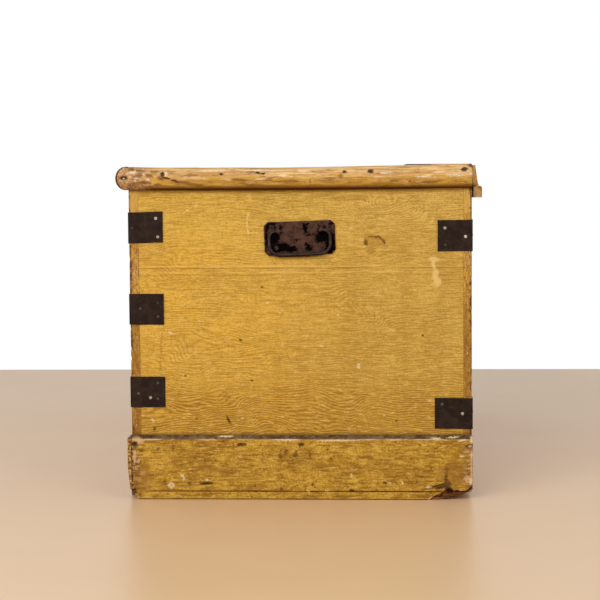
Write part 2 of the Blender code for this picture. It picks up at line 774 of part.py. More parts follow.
def keyhole():
    """A round hole with a slot under it, through the front board and the lock plate."""
    half = KEYHOLE_SLOT_WIDTH / 2
    spread = math.asin(half / KEYHOLE_RADIUS)
    outline = arc(
        (0, 0),
        KEYHOLE_RADIUS,
        KEYHOLE_RADIUS,
        spread - math.pi / 2,
        math.pi * 3 / 2 - spread,
        LOOP_STEPS,
    )
    outline += [(-half, -KEYHOLE_SLOT_DROP), (half, -KEYHOLE_SLOT_DROP)]
    near, far = FRONT_Y - CUT_OVERRUN, LOCK_FACE_Y + LOCK_PLATE + CUT_OVERRUN
    middle = (0, (near + far) / 2, KEYHOLE_Z)
    return as_cutter(prism("keyhole", outline, far - near, middle, IN_XZ))


def lock_plate(key_cutter):
    low = (-LOCK_WIDTH / 2, LOCK_FACE_Y, LOCK_TOP - LOCK_HEIGHT)
    high = (LOCK_WIDTH / 2, LOCK_FACE_Y + LOCK_PLATE, LOCK_TOP)
    piece = box("lock_plate", low, high, lock_iron())
    cut(piece, key_cutter)


def lock_cover():
    """A tray over the plate, with a slot in its top for the eye and two guides for the bolt."""
    half, foot = COVER_WIDTH / 2, LOCK_TOP - LOCK_HEIGHT + COVER_MARGIN
    back_wall = COVER_BACK_Y - COVER_WALL
    cover = box("lock_cover", (-half, COVER_FACE_Y, foot), (half, COVER_BACK_Y, COVER_TOP), lock_iron())
    hollow_low = (-half + COVER_WALL, COVER_FACE_Y - CUT_OVERRUN, foot + COVER_WALL)
    hollow_high = (half - COVER_WALL, back_wall, COVER_TOP - COVER_WALL)
    cut(cover, as_cutter(box("lock_hollow", hollow_low, hollow_high)))
    slot_x, slot_y = EYE_THICKNESS / 2 + EYE_ROOM, EYE_WIDTH / 2 + EYE_ROOM
    slot_low = (-slot_x, BOLT_Y - slot_y, COVER_TOP - COVER_WALL - SEAT_GAP)
    slot_high = (slot_x, BOLT_Y + slot_y, COVER_TOP + CUT_OVERRUN)
    cut(cover, as_cutter(box("eye_slot", slot_low, slot_high)))
    for name, side in (("upper", 1), ("lower", -1)):
        heights = sorted(
            (
                BOLT_Z + side * (BOLT_HEIGHT / 2 + SEAT_GAP),
                BOLT_Z + side * (BOLT_HEIGHT / 2 + SEAT_GAP + GUIDE_HEIGHT),
            )
        )
        low = (BOLT_TAIL_X, BOLT_Y - BOLT_THICKNESS / 2, heights[0])
        high = (BOLT_TIP_X, back_wall + COVER_WALL / 2, heights[1])
        fuse(cover, as_cutter(box(f"{name}_bolt_guide", low, high)))


def lock_bolt():
    """The bolt is drawn back from the eye at rest and slides along +X into it."""
    low = (BOLT_TAIL_X, BOLT_Y - BOLT_THICKNESS / 2, BOLT_Z - BOLT_HEIGHT / 2)
    high = (BOLT_TIP_X, BOLT_Y + BOLT_THICKNESS / 2, BOLT_Z + BOLT_HEIGHT / 2)
    box("lock_bolt", low, high, lock_iron())


def link_plate():
    """The plate under the lid, with the eye that drops into the lock and takes the bolt."""
    top = LID_UNDERSIDE - SEAT_GAP
    foot = top - LINK_THICKNESS
    low = (-LINK_LENGTH / 2, BOLT_Y - LINK_DEPTH / 2, foot)
    high = (LINK_LENGTH / 2, BOLT_Y + LINK_DEPTH / 2, top)
    plate = box("lock_link_plate", low, high, lock_iron())
    hole_half = BOLT_HEIGHT / 2 + EYE_HOLE_ROOM - BOLT_THICKNESS / 2
    eye_foot = BOLT_Z - hole_half - EYE_RIM
    eye_low = (-EYE_THICKNESS / 2, BOLT_Y - EYE_WIDTH / 2, eye_foot)
    eye_high = (EYE_THICKNESS / 2, BOLT_Y + EYE_WIDTH / 2, top - LINK_THICKNESS / 2)
    fuse(plate, as_cutter(box("link_eye", eye_low, eye_high)))
    hole_low = (-EYE_THICKNESS, BOLT_Y - EYE_HOLE_ROOM, BOLT_Z - hole_half)
    hole_high = (EYE_THICKNESS, BOLT_Y + EYE_HOLE_ROOM, BOLT_Z + hole_half)
    cut(plate, as_cutter(box("eye_hole", hole_low, hole_high)))
    return plate


# Assembly


def main():
    walls = long_walls()
    end_walls()
    base_boards()
    front_plinth()
    end_plinths()
    corner_straps()
    rail = back_rail()
    handles()
    key_cutter = keyhole()
    cut(walls["front", "upper"], key_cutter)
    lock_plate(key_cutter)
    lock_cover()
    lock_bolt()

    strip = back_strip()
    lid = [*lid_boards(), front_moulding(), *end_mouldings(), strip, link_plate()]
    for side, middle_x in (("right", END_X - HINGE_INSET), ("left", HINGE_INSET - END_X)):
        lid.append(hinge(side, middle_x, (rail, strip)))
    hinge_line = empty("lid_hinge_line", (0, PIN_Y, PIN_Z))
    for piece in lid:
        hang(piece, hinge_line)


clear_scene()
PARTS = new_collection("pine_trunk")
CUTTERS = new_collection("cutters")
main()
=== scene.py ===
"""The painted pine trunk, dressed for its photograph: worn wood, combed paint and old iron."""

import json
import math
import random

import bmesh
import bpy
import numpy as np
from mathutils import Matrix, Vector, noise


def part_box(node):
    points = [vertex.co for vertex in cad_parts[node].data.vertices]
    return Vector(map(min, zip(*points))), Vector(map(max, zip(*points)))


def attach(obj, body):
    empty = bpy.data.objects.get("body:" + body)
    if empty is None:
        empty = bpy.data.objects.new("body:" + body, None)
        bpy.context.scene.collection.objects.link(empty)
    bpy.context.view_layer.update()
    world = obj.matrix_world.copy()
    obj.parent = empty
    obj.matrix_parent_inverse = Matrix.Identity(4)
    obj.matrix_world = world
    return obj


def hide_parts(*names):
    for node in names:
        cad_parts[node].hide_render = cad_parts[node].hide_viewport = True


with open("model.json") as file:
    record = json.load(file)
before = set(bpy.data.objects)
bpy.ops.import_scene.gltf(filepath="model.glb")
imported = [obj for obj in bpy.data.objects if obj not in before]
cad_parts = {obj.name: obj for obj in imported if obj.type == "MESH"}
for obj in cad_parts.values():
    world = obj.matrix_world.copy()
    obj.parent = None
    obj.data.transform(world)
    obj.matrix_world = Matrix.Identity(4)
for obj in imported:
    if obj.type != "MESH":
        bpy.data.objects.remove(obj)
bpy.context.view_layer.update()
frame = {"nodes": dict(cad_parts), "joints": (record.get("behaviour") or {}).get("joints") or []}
NODES = frame["nodes"]


def low(node):
    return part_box(node)[0]


def high(node):
    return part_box(node)[1]


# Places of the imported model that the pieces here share, in metres
GAP = 0.0003  # between two pieces that lie against each other
END_X = high("right_end_lower_board").x
FRONT_Y = low("front_lower_board").y
BACK_Y = high("back_lower_board").y
MIDDLE_Y = (FRONT_Y + BACK_Y) / 2
RIM_Z = high("front_upper_board").z
FRONT_LAP, BACK_LAP = 0.014, 0.012
LAP_X = low("right_end_lower_board").x - GAP
LID_END_X = low("lid_right_moulding").x
LID_FRONT_Y = high("lid_front_moulding").y
MOULDING_FOOT = low("lid_right_moulding").z
MOULDING_HEIGHT = high("lid_right_moulding").z - MOULDING_FOOT
MOULDING_MIDDLE = MOULDING_FOOT + MOULDING_HEIGHT / 2
MOULDING_OUT = high("lid_right_moulding").x - LID_END_X
PLINTH_TOP = high("right_plinth").z
PLINTH_FACE_X = high("right_plinth").x
PLINTH_FRONT_Y = low("front_plinth").y
PLINTH_HALF_DEPTH = 0.253
PLATE_FACE_X = END_X + 0.002
CHAMFER = 0.0045
CHAMFER_Z = PLINTH_TOP - CHAMFER
GROOVE_Z = 0.0122
PIVOTS = {row["name"]: row for row in frame["joints"]}

# The photograph's camera: it stands a little towards the trunk's back and is a little out of level
FOCAL_PX = 1724.0
PICTURE_PX = 600.0
CAMERA_REACH = 2.5046  # from the trunk's end to the camera
CAMERA_TURN = math.radians(3.148)
CAMERA_PITCH = math.radians(4.4)
CAMERA_ROLL = math.radians(0.4415)
AIM = Vector((END_X, MIDDLE_Y, 0.292))
PIXEL = 0.001452  # the size of a pixel of the photograph on the trunk's end


# Camera, floor and light


def put(name, data):
    """Adds an object to the scene."""
    made = bpy.data.objects.new(name, data)
    bpy.context.scene.collection.objects.link(made)
    return made


def make_camera():
    level = math.cos(CAMERA_PITCH)
    back = Vector((math.cos(CAMERA_TURN) * level, math.sin(CAMERA_TURN) * level, math.sin(CAMERA_PITCH)))
    data = bpy.data.cameras.new("camera")
    data.sensor_width = 36.0
    data.lens = FOCAL_PX / PICTURE_PX * data.sensor_width
    data.clip_end = 50
    camera = put("camera", data)
    turned = back.to_track_quat("Z", "Y").to_matrix() @ Matrix.Rotation(-CAMERA_ROLL, 3, "Z")
    camera.matrix_world = Matrix.Translation(AIM + back * CAMERA_REACH) @ turned.to_4x4()
    bpy.context.scene.camera = camera
    return camera


CAMERA = make_camera()


def at(px, py, plane_x=END_X):
    """The Y and Z at which a pixel of the photograph falls on a plane across the trunk's length."""
    half = PICTURE_PX / 2
    ray = CAMERA.matrix_world.to_3x3() @ Vector(((px - half) / FOCAL_PX, (half - py) / FOCAL_PX, -1))
    eye = CAMERA.matrix_world.translation
    point = eye + ray * (plane_x - eye.x) / ray.x
    return point.y, point.z


def stage_plane(name, corner, far_corner, material):
    mesh = bpy.data.meshes.new(name)
    (x0, y0), (x1, y1) = corner, far_corner
    mesh.from_pydata([(x0, y0, 0), (x1, y0, 0), (x1, y1, 0), (x0, y1, 0)], [], [(0, 1, 2, 3)])
    mesh.materials.append(material)
    put(name, mesh)


def lamp(name, place, target, size, power, colour):
    data = bpy.data.lights.new(name, "AREA")
    data.shape = "RECTANGLE"
    data.size, data.size_y = size
    data.energy = power
    data.color = colour
    turned = (Vector(place) - Vector(target)).to_track_quat("Z", "Y").to_matrix()
    put(name, data).matrix_world = Matrix.Translation(place) @ turned.to_4x4()


def make_world():
    """White where the camera or a reflection sees it, and a softer level where it lights the trunk."""
    world = bpy.data.worlds.new("studio")
    bpy.context.scene.world = world
    world.use_nodes = True
    tree = world.node_tree
    background = tree.nodes["Background"]
    background.inputs["Color"].default_value = (1, 1, 1, 1)
    path = tree.nodes.new("ShaderNodeLightPath")
    shown = path.outputs["Is Camera Ray"]
    for other in ("Is Glossy Ray", "Is Transmission Ray"):
        either = tree.nodes.new("ShaderNodeMath")
        either.operation = "MAXIMUM"
        tree.links.new(shown, either.inputs[0])
        tree.links.new(path.outputs[other], either.inputs[1])
        shown = either.outputs[0]
    level = tree.nodes.new("ShaderNodeMapRange")
    tree.links.new(shown, level.inputs["Value"])
    level.inputs["To Min"].default_value = 0.47
    level.inputs["To Max"].default_value = 1.0
    tree.links.new(level.outputs["Result"], background.inputs["Strength"])


# Materials: short calls that add nodes to a Principled material


class Surface:
    """A Principled material, laid up in layers of colour, with a grain along one of its axes."""

    def __init__(self, name, along="y", across="z", ragged=0.0044, tear=330):
        self.material = bpy.data.materials.new(name)
        self.material.use_nodes = True
        self.tree = self.material.node_tree
        self.shader = self.tree.nodes["Principled BSDF"]
        self.place = self.node("ShaderNodeTexCoord").outputs["Object"]
        self.along, self.across = along, across
        self.ragged = ragged
        self.tear = tear
        self.torn = None

    def feed(self, socket, value):
        if isinstance(value, bpy.types.NodeSocket):
            self.tree.links.new(value, socket)
        else:
            socket.default_value = value

    def node(self, kind, inputs=None, **settings):
        made = self.tree.nodes.new(kind)
        for key, value in settings.items():
            setattr(made, key, value)
        for key, value in (inputs or {}).items():
            self.feed(made.inputs[key], value)
        return made

    def maths(self, operation, a, b=0, c=0):
        return self.node("ShaderNodeMath", {0: a, 1: b, 2: c}, operation=operation).outputs[0]

    def vector_maths(self, operation, *inputs):
        return self.node("ShaderNodeVectorMath", dict(enumerate(inputs)), operation=operation).outputs

    def times(self, a, b):
        return self.maths("MULTIPLY", a, b)

    def plus(self, a, b):
        return self.maths("ADD", a, b)

    def minus(self, a, b):
        return self.maths("SUBTRACT", a, b)

    def distance(self, a, b):
        return self.maths("ABSOLUTE", self.minus(a, b))

    def centred(self, value, amount):
        """A noise of 0 to 1, turned to one of as much below 0 as above it."""
        return self.times(self.minus(value, 0.5), amount)

    def grained(self, along_scale, across_scale, through=8):
        """Noise scales for each axis: low along the grain and high across it."""
        scales = dict.fromkeys("xyz", through) | {self.along: along_scale, self.across: across_scale}
        return tuple(scales.values())

    def scaled(self, factors, vector=None):
        """The place, or another vector, with each axis multiplied."""
        return self.vector_maths("MULTIPLY", vector or self.place, factors)[0]

    def cloud(self, factors, detail, roughness, distortion=0):
        """The outputs of a noise texture: its value and its colour."""
        inputs = {"Vector": self.scaled(factors), "Scale": 1, "Detail": detail, "Roughness": roughness}
        return self.node("ShaderNodeTexNoise", {**inputs, "Distortion": distortion}).outputs

    def noise(self, factors, detail=3, roughness=0.55, distortion=0):
        """Noise of about 0 to 1, whose scale is one number or one for each axis."""
        factors = factors if isinstance(factors, tuple) else (factors,) * 3
        return self.cloud(factors, detail, roughness, distortion)[0]

    def patches(self, factors, start, end, detail=3, roughness=0.55, to_high=1):
        """A mask that is clear where the noise is near start and full where it is near end."""
        return self.ramp(self.noise(factors, detail, roughness), start, end, 0, to_high)

    def ramp(self, value, start, end, to_low=0, to_high=1):
        inputs = {"Value": value, "From Min": start, "From Max": end, "To Min": to_low, "To Max": to_high}
        made = self.node("ShaderNodeMapRange", inputs, interpolation_type="SMOOTHSTEP")
        return made.outputs["Result"]

    def blend(self, factor, a, b):
        made = self.node("ShaderNodeMix", data_type="RGBA")
        self.feed(made.inputs[0], factor)
        self.feed(made.inputs[6], a if isinstance(a, bpy.types.NodeSocket) else (*a, 1))
        self.feed(made.inputs[7], b if isinstance(b, bpy.types.NodeSocket) else (*b, 1))
        return made.outputs[2]

    def axes(self):
        split = self.node("ShaderNodeSeparateXYZ", {0: self.place})
        return split.outputs[0], split.outputs[1], split.outputs[2]

    def torn_place(self):
        """The place, shifted by fine noise, so that a mark drawn with it has a ragged edge."""
        if self.torn is None:
            cloud = self.cloud((1, self.tear, 1.3 * self.tear), 4, 0.72)["Color"]
            centred = self.vector_maths("SUBTRACT", cloud, (0.5, 0.5, 0.5))[0]
            shift = self.scaled((0, 2 * self.ragged, 1.4 * self.ragged), centred)
            self.torn = self.vector_maths("ADD", self.place, shift)[0]
        return self.torn

    def spots(self, marks, softness=0.35):
        """A mask that is 1 in each (y, z, half width, half height, turn) ellipse, whatever the X."""
        nearest = None
        flat = self.scaled((0, 1, 1), self.torn_place())
        for y, z, half_y, half_z, turn in marks:
            if turn:
                inputs = {"Vector": flat, "Location": (0, y, z), "Rotation": (turn, 0, 0)}
                inputs["Scale"] = (1, half_y, half_z)
                moved = self.node("ShaderNodeMapping", inputs, vector_type="TEXTURE").outputs[0]
            else:
                scale, shift = (0, 1 / half_y, 1 / half_z), (0, -y / half_y, -z / half_z)
                moved = self.vector_maths("MULTIPLY_ADD", flat, scale, shift)[0]
            far = self.vector_maths("LENGTH", moved)["Value"]
            nearest = far if nearest is None else self.maths("MINIMUM", nearest, far)
        return self.ramp(nearest, 1 - softness, 1 + softness, 1, 0)

    def lay(self, mask, tint, share=None):
        """Lays a tint over the colour so far, by a mask and a share of it."""
        factor = mask if share is None else self.times(mask, share)
        self.colour = self.blend(factor, self.colour, tint)

    def mark(self, kinds, plane_x):
        """Lays each kind of mark, as (marks in pixels, tint, share), and gives the deep ones' mask."""
        holes = None
        for marks, tint, share in kinds:
            mask = self.spots(on_plane(marks, plane_x))
            self.lay(mask, tint, share)
            if tint is DEEP:
                holes = mask
        return holes

    def finish(self, roughness, height=None, depth=0.0003, specular=0.12):
        self.feed(self.shader.inputs["Base Color"], self.colour)
        self.feed(self.shader.inputs["Roughness"], roughness)
        self.shader.inputs["Specular IOR Level"].default_value = specular
        if height is not None:
            bump = self.node("ShaderNodeBump", {"Height": height, "Distance": depth, "Strength": 1})
            self.feed(self.shader.inputs["Normal"], bump.outputs[0])
        return self.material


def on_plane(marks, plane_x=END_X):
    """Turns marks from the photograph's pixels to metres: x, y, half width, half height and any turn."""
    placed = []
    for px, py, half_x, half_y, *turn in marks:
        y, z = at(px, py, plane_x)
        placed.append((y, z, half_x * PIXEL, half_y * PIXEL, math.radians(turn[0]) if turn else 0))
    return placed


# Colours that the marks and several surfaces share
PALE_CHIP = (0.82, 0.64, 0.38)
DEEP = (0.022, 0.01, 0.005)
BROWN_LINE = (0.33, 0.16, 0.02)
LIGHT_STREAK = (0.8, 0.5, 0.12)
# Painted shadow at the foot of the lid's moulding
LIP_SHADOW = (0.062, 0.018, 0.002)
COMB_PITCH = 0.0036


def combed_paint(name, along, across, marks=(), joint_z=None, foot_z=0):
    """Ochre graining paint over pine: combed wavy lines, an uneven glaze, scuffs and pinholes."""
    s = Surface(name, along, across)
    axis = dict(zip("xyz", s.axes()))
    u, v = axis[along], axis[across]
    figure = s.noise(s.grained(5, 10, 3), 1)
    ovals = s.noise(s.grained(15, 24, 5), 1)
    wobble = s.noise(s.grained(70, 110), 2)
    bent = s.plus(v, s.times(figure, 0.046))
    swirls = s.ramp(s.noise(s.grained(7, 9, 4), 1), 0.46, 0.6, 0.018, 0.045)
    bent = s.plus(bent, s.times(ovals, swirls))
    bent = s.plus(bent, s.times(wobble, 0.003))
    comb = s.maths("SINE", s.times(bent, 2 * math.pi / COMB_PITCH))
    comb = s.maths("MULTIPLY_ADD", comb, 0.5, 0.5)
    broken = s.noise(s.grained(66, 300), 3, 0.66)
    speckle = s.noise(430, 2, 0.7)
    field = s.noise(s.grained(11, 16), 2)
    strength = s.ramp(field, 0.38, 0.6, 0.3, 1)
    low_down = 0
    if along == "y":
        low_down = s.ramp(v, 0.2, 0.125)
        strength = s.plus(s.times(strength, 0.75), s.times(low_down, 0.45))
    lines = s.ramp(s.plus(comb, s.centred(broken, 2.1)), 0.12, 1.05)
    lines = s.times(lines, strength)
    streaks = s.patches(s.grained(36, 470), 0.48, 0.62, 4, 0.7)
    lights = s.patches(s.grained(50, 460, 11), 0.52, 0.62, 4, 0.7)

    cloud = s.noise(5.5, 4, 0.6)
    patch = s.noise(s.grained(26, 34), 3, 0.6)
    s.colour = s.blend(s.ramp(cloud, 0.36, 0.64), (0.768, 0.456, 0.058), (0.716, 0.442, 0.084))
    if along == "y":
        up_and_right = s.ramp(s.plus(u, s.times(v, 0.5)), -0.02, 0.38)
        s.lay(up_and_right, (0.712, 0.492, 0.13), 0.8)
        top_left = s.times(s.ramp(u, 0.1, 0), s.ramp(v, 0.34, 0.43))
        s.lay(top_left, (0.622, 0.422, 0.08), 0.5)
        # Painted shade: darker towards the right and lower part of the end, with faint darker bands in it.
        right = s.times(s.ramp(u, -0.12, 0.1), s.ramp(v, 0.47, 0.33))
        s.lay(right, (0.545, 0.338, 0.054), 0.5)
        s.lay(low_down, (0.53, 0.285, 0.02), 0.55)
        bands = s.noise((4, 44, 2), 1)
        s.lay(s.times(s.ramp(bands, 0.48, 0.66), s.times(right, 0.3)), (0.43, 0.24, 0.05))
    s.lay(s.ramp(patch, 0.5, 0.68, 0, 0.26), (0.48, 0.25, 0.026))
    s.lay(lines, BROWN_LINE, s.plus(s.times(low_down, 0.3), 0.64) if along == "y" else 0.54)
    s.lay(streaks, (0.335, 0.172, 0.014), 0.46)
    s.lay(lights, LIGHT_STREAK, 0.8)
    s.lay(s.ramp(speckle, 0.46, 0.64, 0, 0.48), (0.37, 0.19, 0.024))
    s.lay(s.patches((210, 210, 260), 0.665, 0.72, 3, 0.75), (0.8, 0.56, 0.22), 0.6)  # pale flecks
    s.lay(s.patches(75, 0.6, 0.74, 5, 0.7), (0.25, 0.12, 0.02), 0.45)  # grime
    height = s.plus(s.times(streaks, -0.35), s.plus(s.times(lines, -0.45), s.times(lights, 0.25)))
    if joint_z is not None:
        joint_lines(s, v, joint_z, foot_z)
    s.mark(marks, END_X)
    return s.finish(s.ramp(cloud, 0.3, 0.7, 0.46, 0.6), height, 0.00045)


def joint_lines(s, v, joint_z, foot_z):
    """The straight streaks along a wall's upper joint, painted shadow below the lid, and a darker band just
    above the foot.
    """
    grain = s.noise(s.grained(14, 300, 2), 2)
    for offset, half, tint, share in (
        (0.0035, 0.0012, LIGHT_STREAK, 0.75),
        (0.0008, 0.0012, (0.36, 0.175, 0.02), 0.6),
        (-0.0055, 0.0013, LIGHT_STREAK, 0.65),
        (-0.009, 0.0014, (0.4, 0.2, 0.022), 0.45),
    ):
        away = s.distance(v, joint_z + offset)
        line = s.ramp(away, half * 1.6, half * 0.3)
        line = s.times(line, s.ramp(grain, 0.36, 0.6))
        s.lay(s.times(line, share), tint)
    edge = s.noise(s.grained(60, 60, 2), 3)
    # Painted shadow: a dark band on the wall just under the lid's moulding.
    lid_shadow = s.ramp(s.plus(v, s.times(edge, 0.006)), MOULDING_FOOT - 0.0055, MOULDING_FOOT + 0.0005)
    s.lay(lid_shadow, (0.3, 0.145, 0.016), 0.5)
    over_foot = s.ramp(s.plus(v, s.times(edge, -0.005)), foot_z + 0.003, foot_z - 0.0035)
    s.lay(over_foot, (0.15, 0.065, 0.012), 0.75)


def edge_grain(name, outer_y, tint):
    """A long board's sawn end beside the end wall: worn paint, pinkish wood and a dirty outer arris."""
    s = Surface(name)
    _, y, z = s.axes()
    cloud = s.noise((20, 90, 34), 4, 0.65)
    fine = s.noise((40, 520, 110), 3, 0.6)
    s.colour = s.blend(s.ramp(cloud, 0.42, 0.56), tint, (0.6, 0.34, 0.056))
    s.lay(s.patches((10, 30, 16), 0.52, 0.62, 3), (0.56, 0.31, 0.12), 0.6)  # bare wood
    s.lay(s.ramp(fine, 0.46, 0.66, 0, 0.75), (0.23, 0.1, 0.016))
    low_down = s.ramp(z, 0.285, 0.245)
    s.lay(low_down, (0.25, 0.11, 0.014), 0.55)
    s.lay(s.patches((60, 330, 230), 0.5, 0.6, 5, 0.78), (0.21, 0.085, 0.014), 0.75)  # dark mottling
    s.lay(s.patches((60, 270, 190), 0.56, 0.65, 5, 0.78), (0.74, 0.5, 0.21), 0.8)  # pale chips
    high_up = s.ramp(z, RIM_Z - 0.075, RIM_Z - 0.03)
    s.lay(high_up, (0.64, 0.4, 0.09), 0.62)
    away = s.distance(y, outer_y)
    near = s.ramp(s.plus(away, s.centred(cloud, 0.018)), 0.0036, 0.001)
    spotty = s.ramp(s.noise((30, 90, 150), 4, 0.75), 0.42, 0.56, 0.4, 1)
    s.lay(s.times(near, spotty), (0.09, 0.034, 0.008))
    # Painted shadow under the lid's moulding.
    lid_shadow = s.ramp(z, MOULDING_FOOT - 0.005, MOULDING_FOOT + 0.001)
    s.lay(lid_shadow, (0.18, 0.075, 0.012), 0.8)
    over_plinth = s.ramp(z, PLINTH_TOP + 0.008, PLINTH_TOP - 0.001)
    s.lay(over_plinth, (0.15, 0.065, 0.012), 0.7)
    return s.finish(s.ramp(cloud, 0.3, 0.7, 0.5, 0.68), s.plus(fine, cloud), 0.0005)


def bare_wood(name, along, across):
    """Unpainted pine: fine grain along the board, darker late wood and a few dirty patches."""
    s = Surface(name, along, across)
    light, dark = (0.56, 0.37, 0.19), (0.4, 0.225, 0.095)
    rings = s.noise(s.grained(1.6, 46, 30), detail=2, distortion=0.6)
    fibres = s.noise(s.grained(22, 900, 700), 3)
    bands = s.ramp(s.maths("SINE", s.times(rings, 60)), -0.2, 1)
    s.colour = s.blend(s.times(bands, 0.7), light, dark)
    s.lay(s.ramp(fibres, 0.45, 0.75, 0, 0.45), dark)
    s.lay(s.patches(14, 0.52, 0.75, 5, 0.65), (0.26, 0.15, 0.075), 0.5)  # dirt
    height = s.plus(s.times(fibres, 0.6), s.times(bands, -0.4))
    return s.finish(s.ramp(fibres, 0.3, 0.7, 0.62, 0.78), height, 0.0002)


def moulding_wood(name, along, marks=()):
    """The lid's edge: ochre paint kept on its lower side and worn through to pinkish wood above."""
    s = Surface(name, along, ragged=0.005, tear=420)
    x, y, z = s.axes()
    grain = s.noise(s.grained(12, 300, 300), 4, 0.62)
    coarse = s.noise(s.grained(26, 110, 110), 4, 0.65)
    level = s.times(s.minus(z, MOULDING_MIDDLE - 0.001), 26)
    bare = s.ramp(s.plus(level, coarse), 0.44, 0.58)
    paint = s.blend(s.ramp(coarse, 0.38, 0.62), (0.61, 0.355, 0.066), (0.35, 0.183, 0.028))
    wood = s.blend(s.ramp(grain, 0.4, 0.6), (0.81, 0.535, 0.235), (0.535, 0.292, 0.096))
    s.colour = s.blend(bare, paint, wood)
    pale = s.patches(s.grained(34, 190, 190), 0.52, 0.66, 3, 0.62)
    s.lay(pale, (0.8, 0.54, 0.27), 0.5)
    dark = s.patches(s.grained(34, 210, 210), 0.54, 0.66, 6, 0.78)
    s.lay(dark, (0.21, 0.085, 0.018), 0.62)
    ochre = s.patches(s.grained(18, 90, 90), 0.54, 0.64, 4, 0.7)
    s.lay(ochre, (0.56, 0.29, 0.04), 0.55)
    # Painted shadow: a dark band along the moulding's lower side, near black at its foot.
    lip = s.plus(z, s.centred(coarse, 0.003))
    s.lay(s.ramp(lip, MOULDING_FOOT + 0.0076, MOULDING_FOOT + 0.0026, 0, 0.72), (0.165, 0.062, 0.007))
    s.lay(s.ramp(lip, MOULDING_FOOT + 0.0036, MOULDING_FOOT + 0.0002), LIP_SHADOW)
    holes = None
    if marks:
        out = s.minus(x, LID_END_X)
        inside = s.plus(s.minus(y, LID_FRONT_Y), out)
        mitre_zone = s.ramp(s.plus(y, s.times(coarse, 0.003)), LID_FRONT_Y + 0.0035, LID_FRONT_Y + 0.0005)
        blotches = s.noise(260, 5, 0.75)
        smooth = s.blend(s.ramp(blotches, 0.4, 0.6), (0.64, 0.385, 0.19), (0.33, 0.155, 0.07))
        zone = s.ramp(s.plus(y, s.times(coarse, 0.02)), LID_FRONT_Y + 0.052, LID_FRONT_Y + 0.03)
        mauve = s.blend(s.ramp(blotches, 0.42, 0.58), (0.64, 0.42, 0.23), (0.26, 0.13, 0.075))
        s.lay(zone, mauve, 0.55)
        s.lay(mitre_zone, smooth, 0.85)
        # Painted shade along the outline of the mitred corner, where the rounded face turns away.
        rim = s.ramp(s.plus(inside, s.centred(coarse, 0.0016)), 0.0036, 0.0018)
        s.lay(rim, (0.04, 0.015, 0.004), 0.92)
        holes = s.mark(marks, LID_END_X + MOULDING_OUT)
    height = s.minus(grain, s.times(dark, 0.8))
    if holes is not None:
        height = s.plus(height, s.times(holes, -2))
    return s.finish(s.ramp(coarse, 0.3, 0.7, 0.44, 0.64), height, 0.0005)


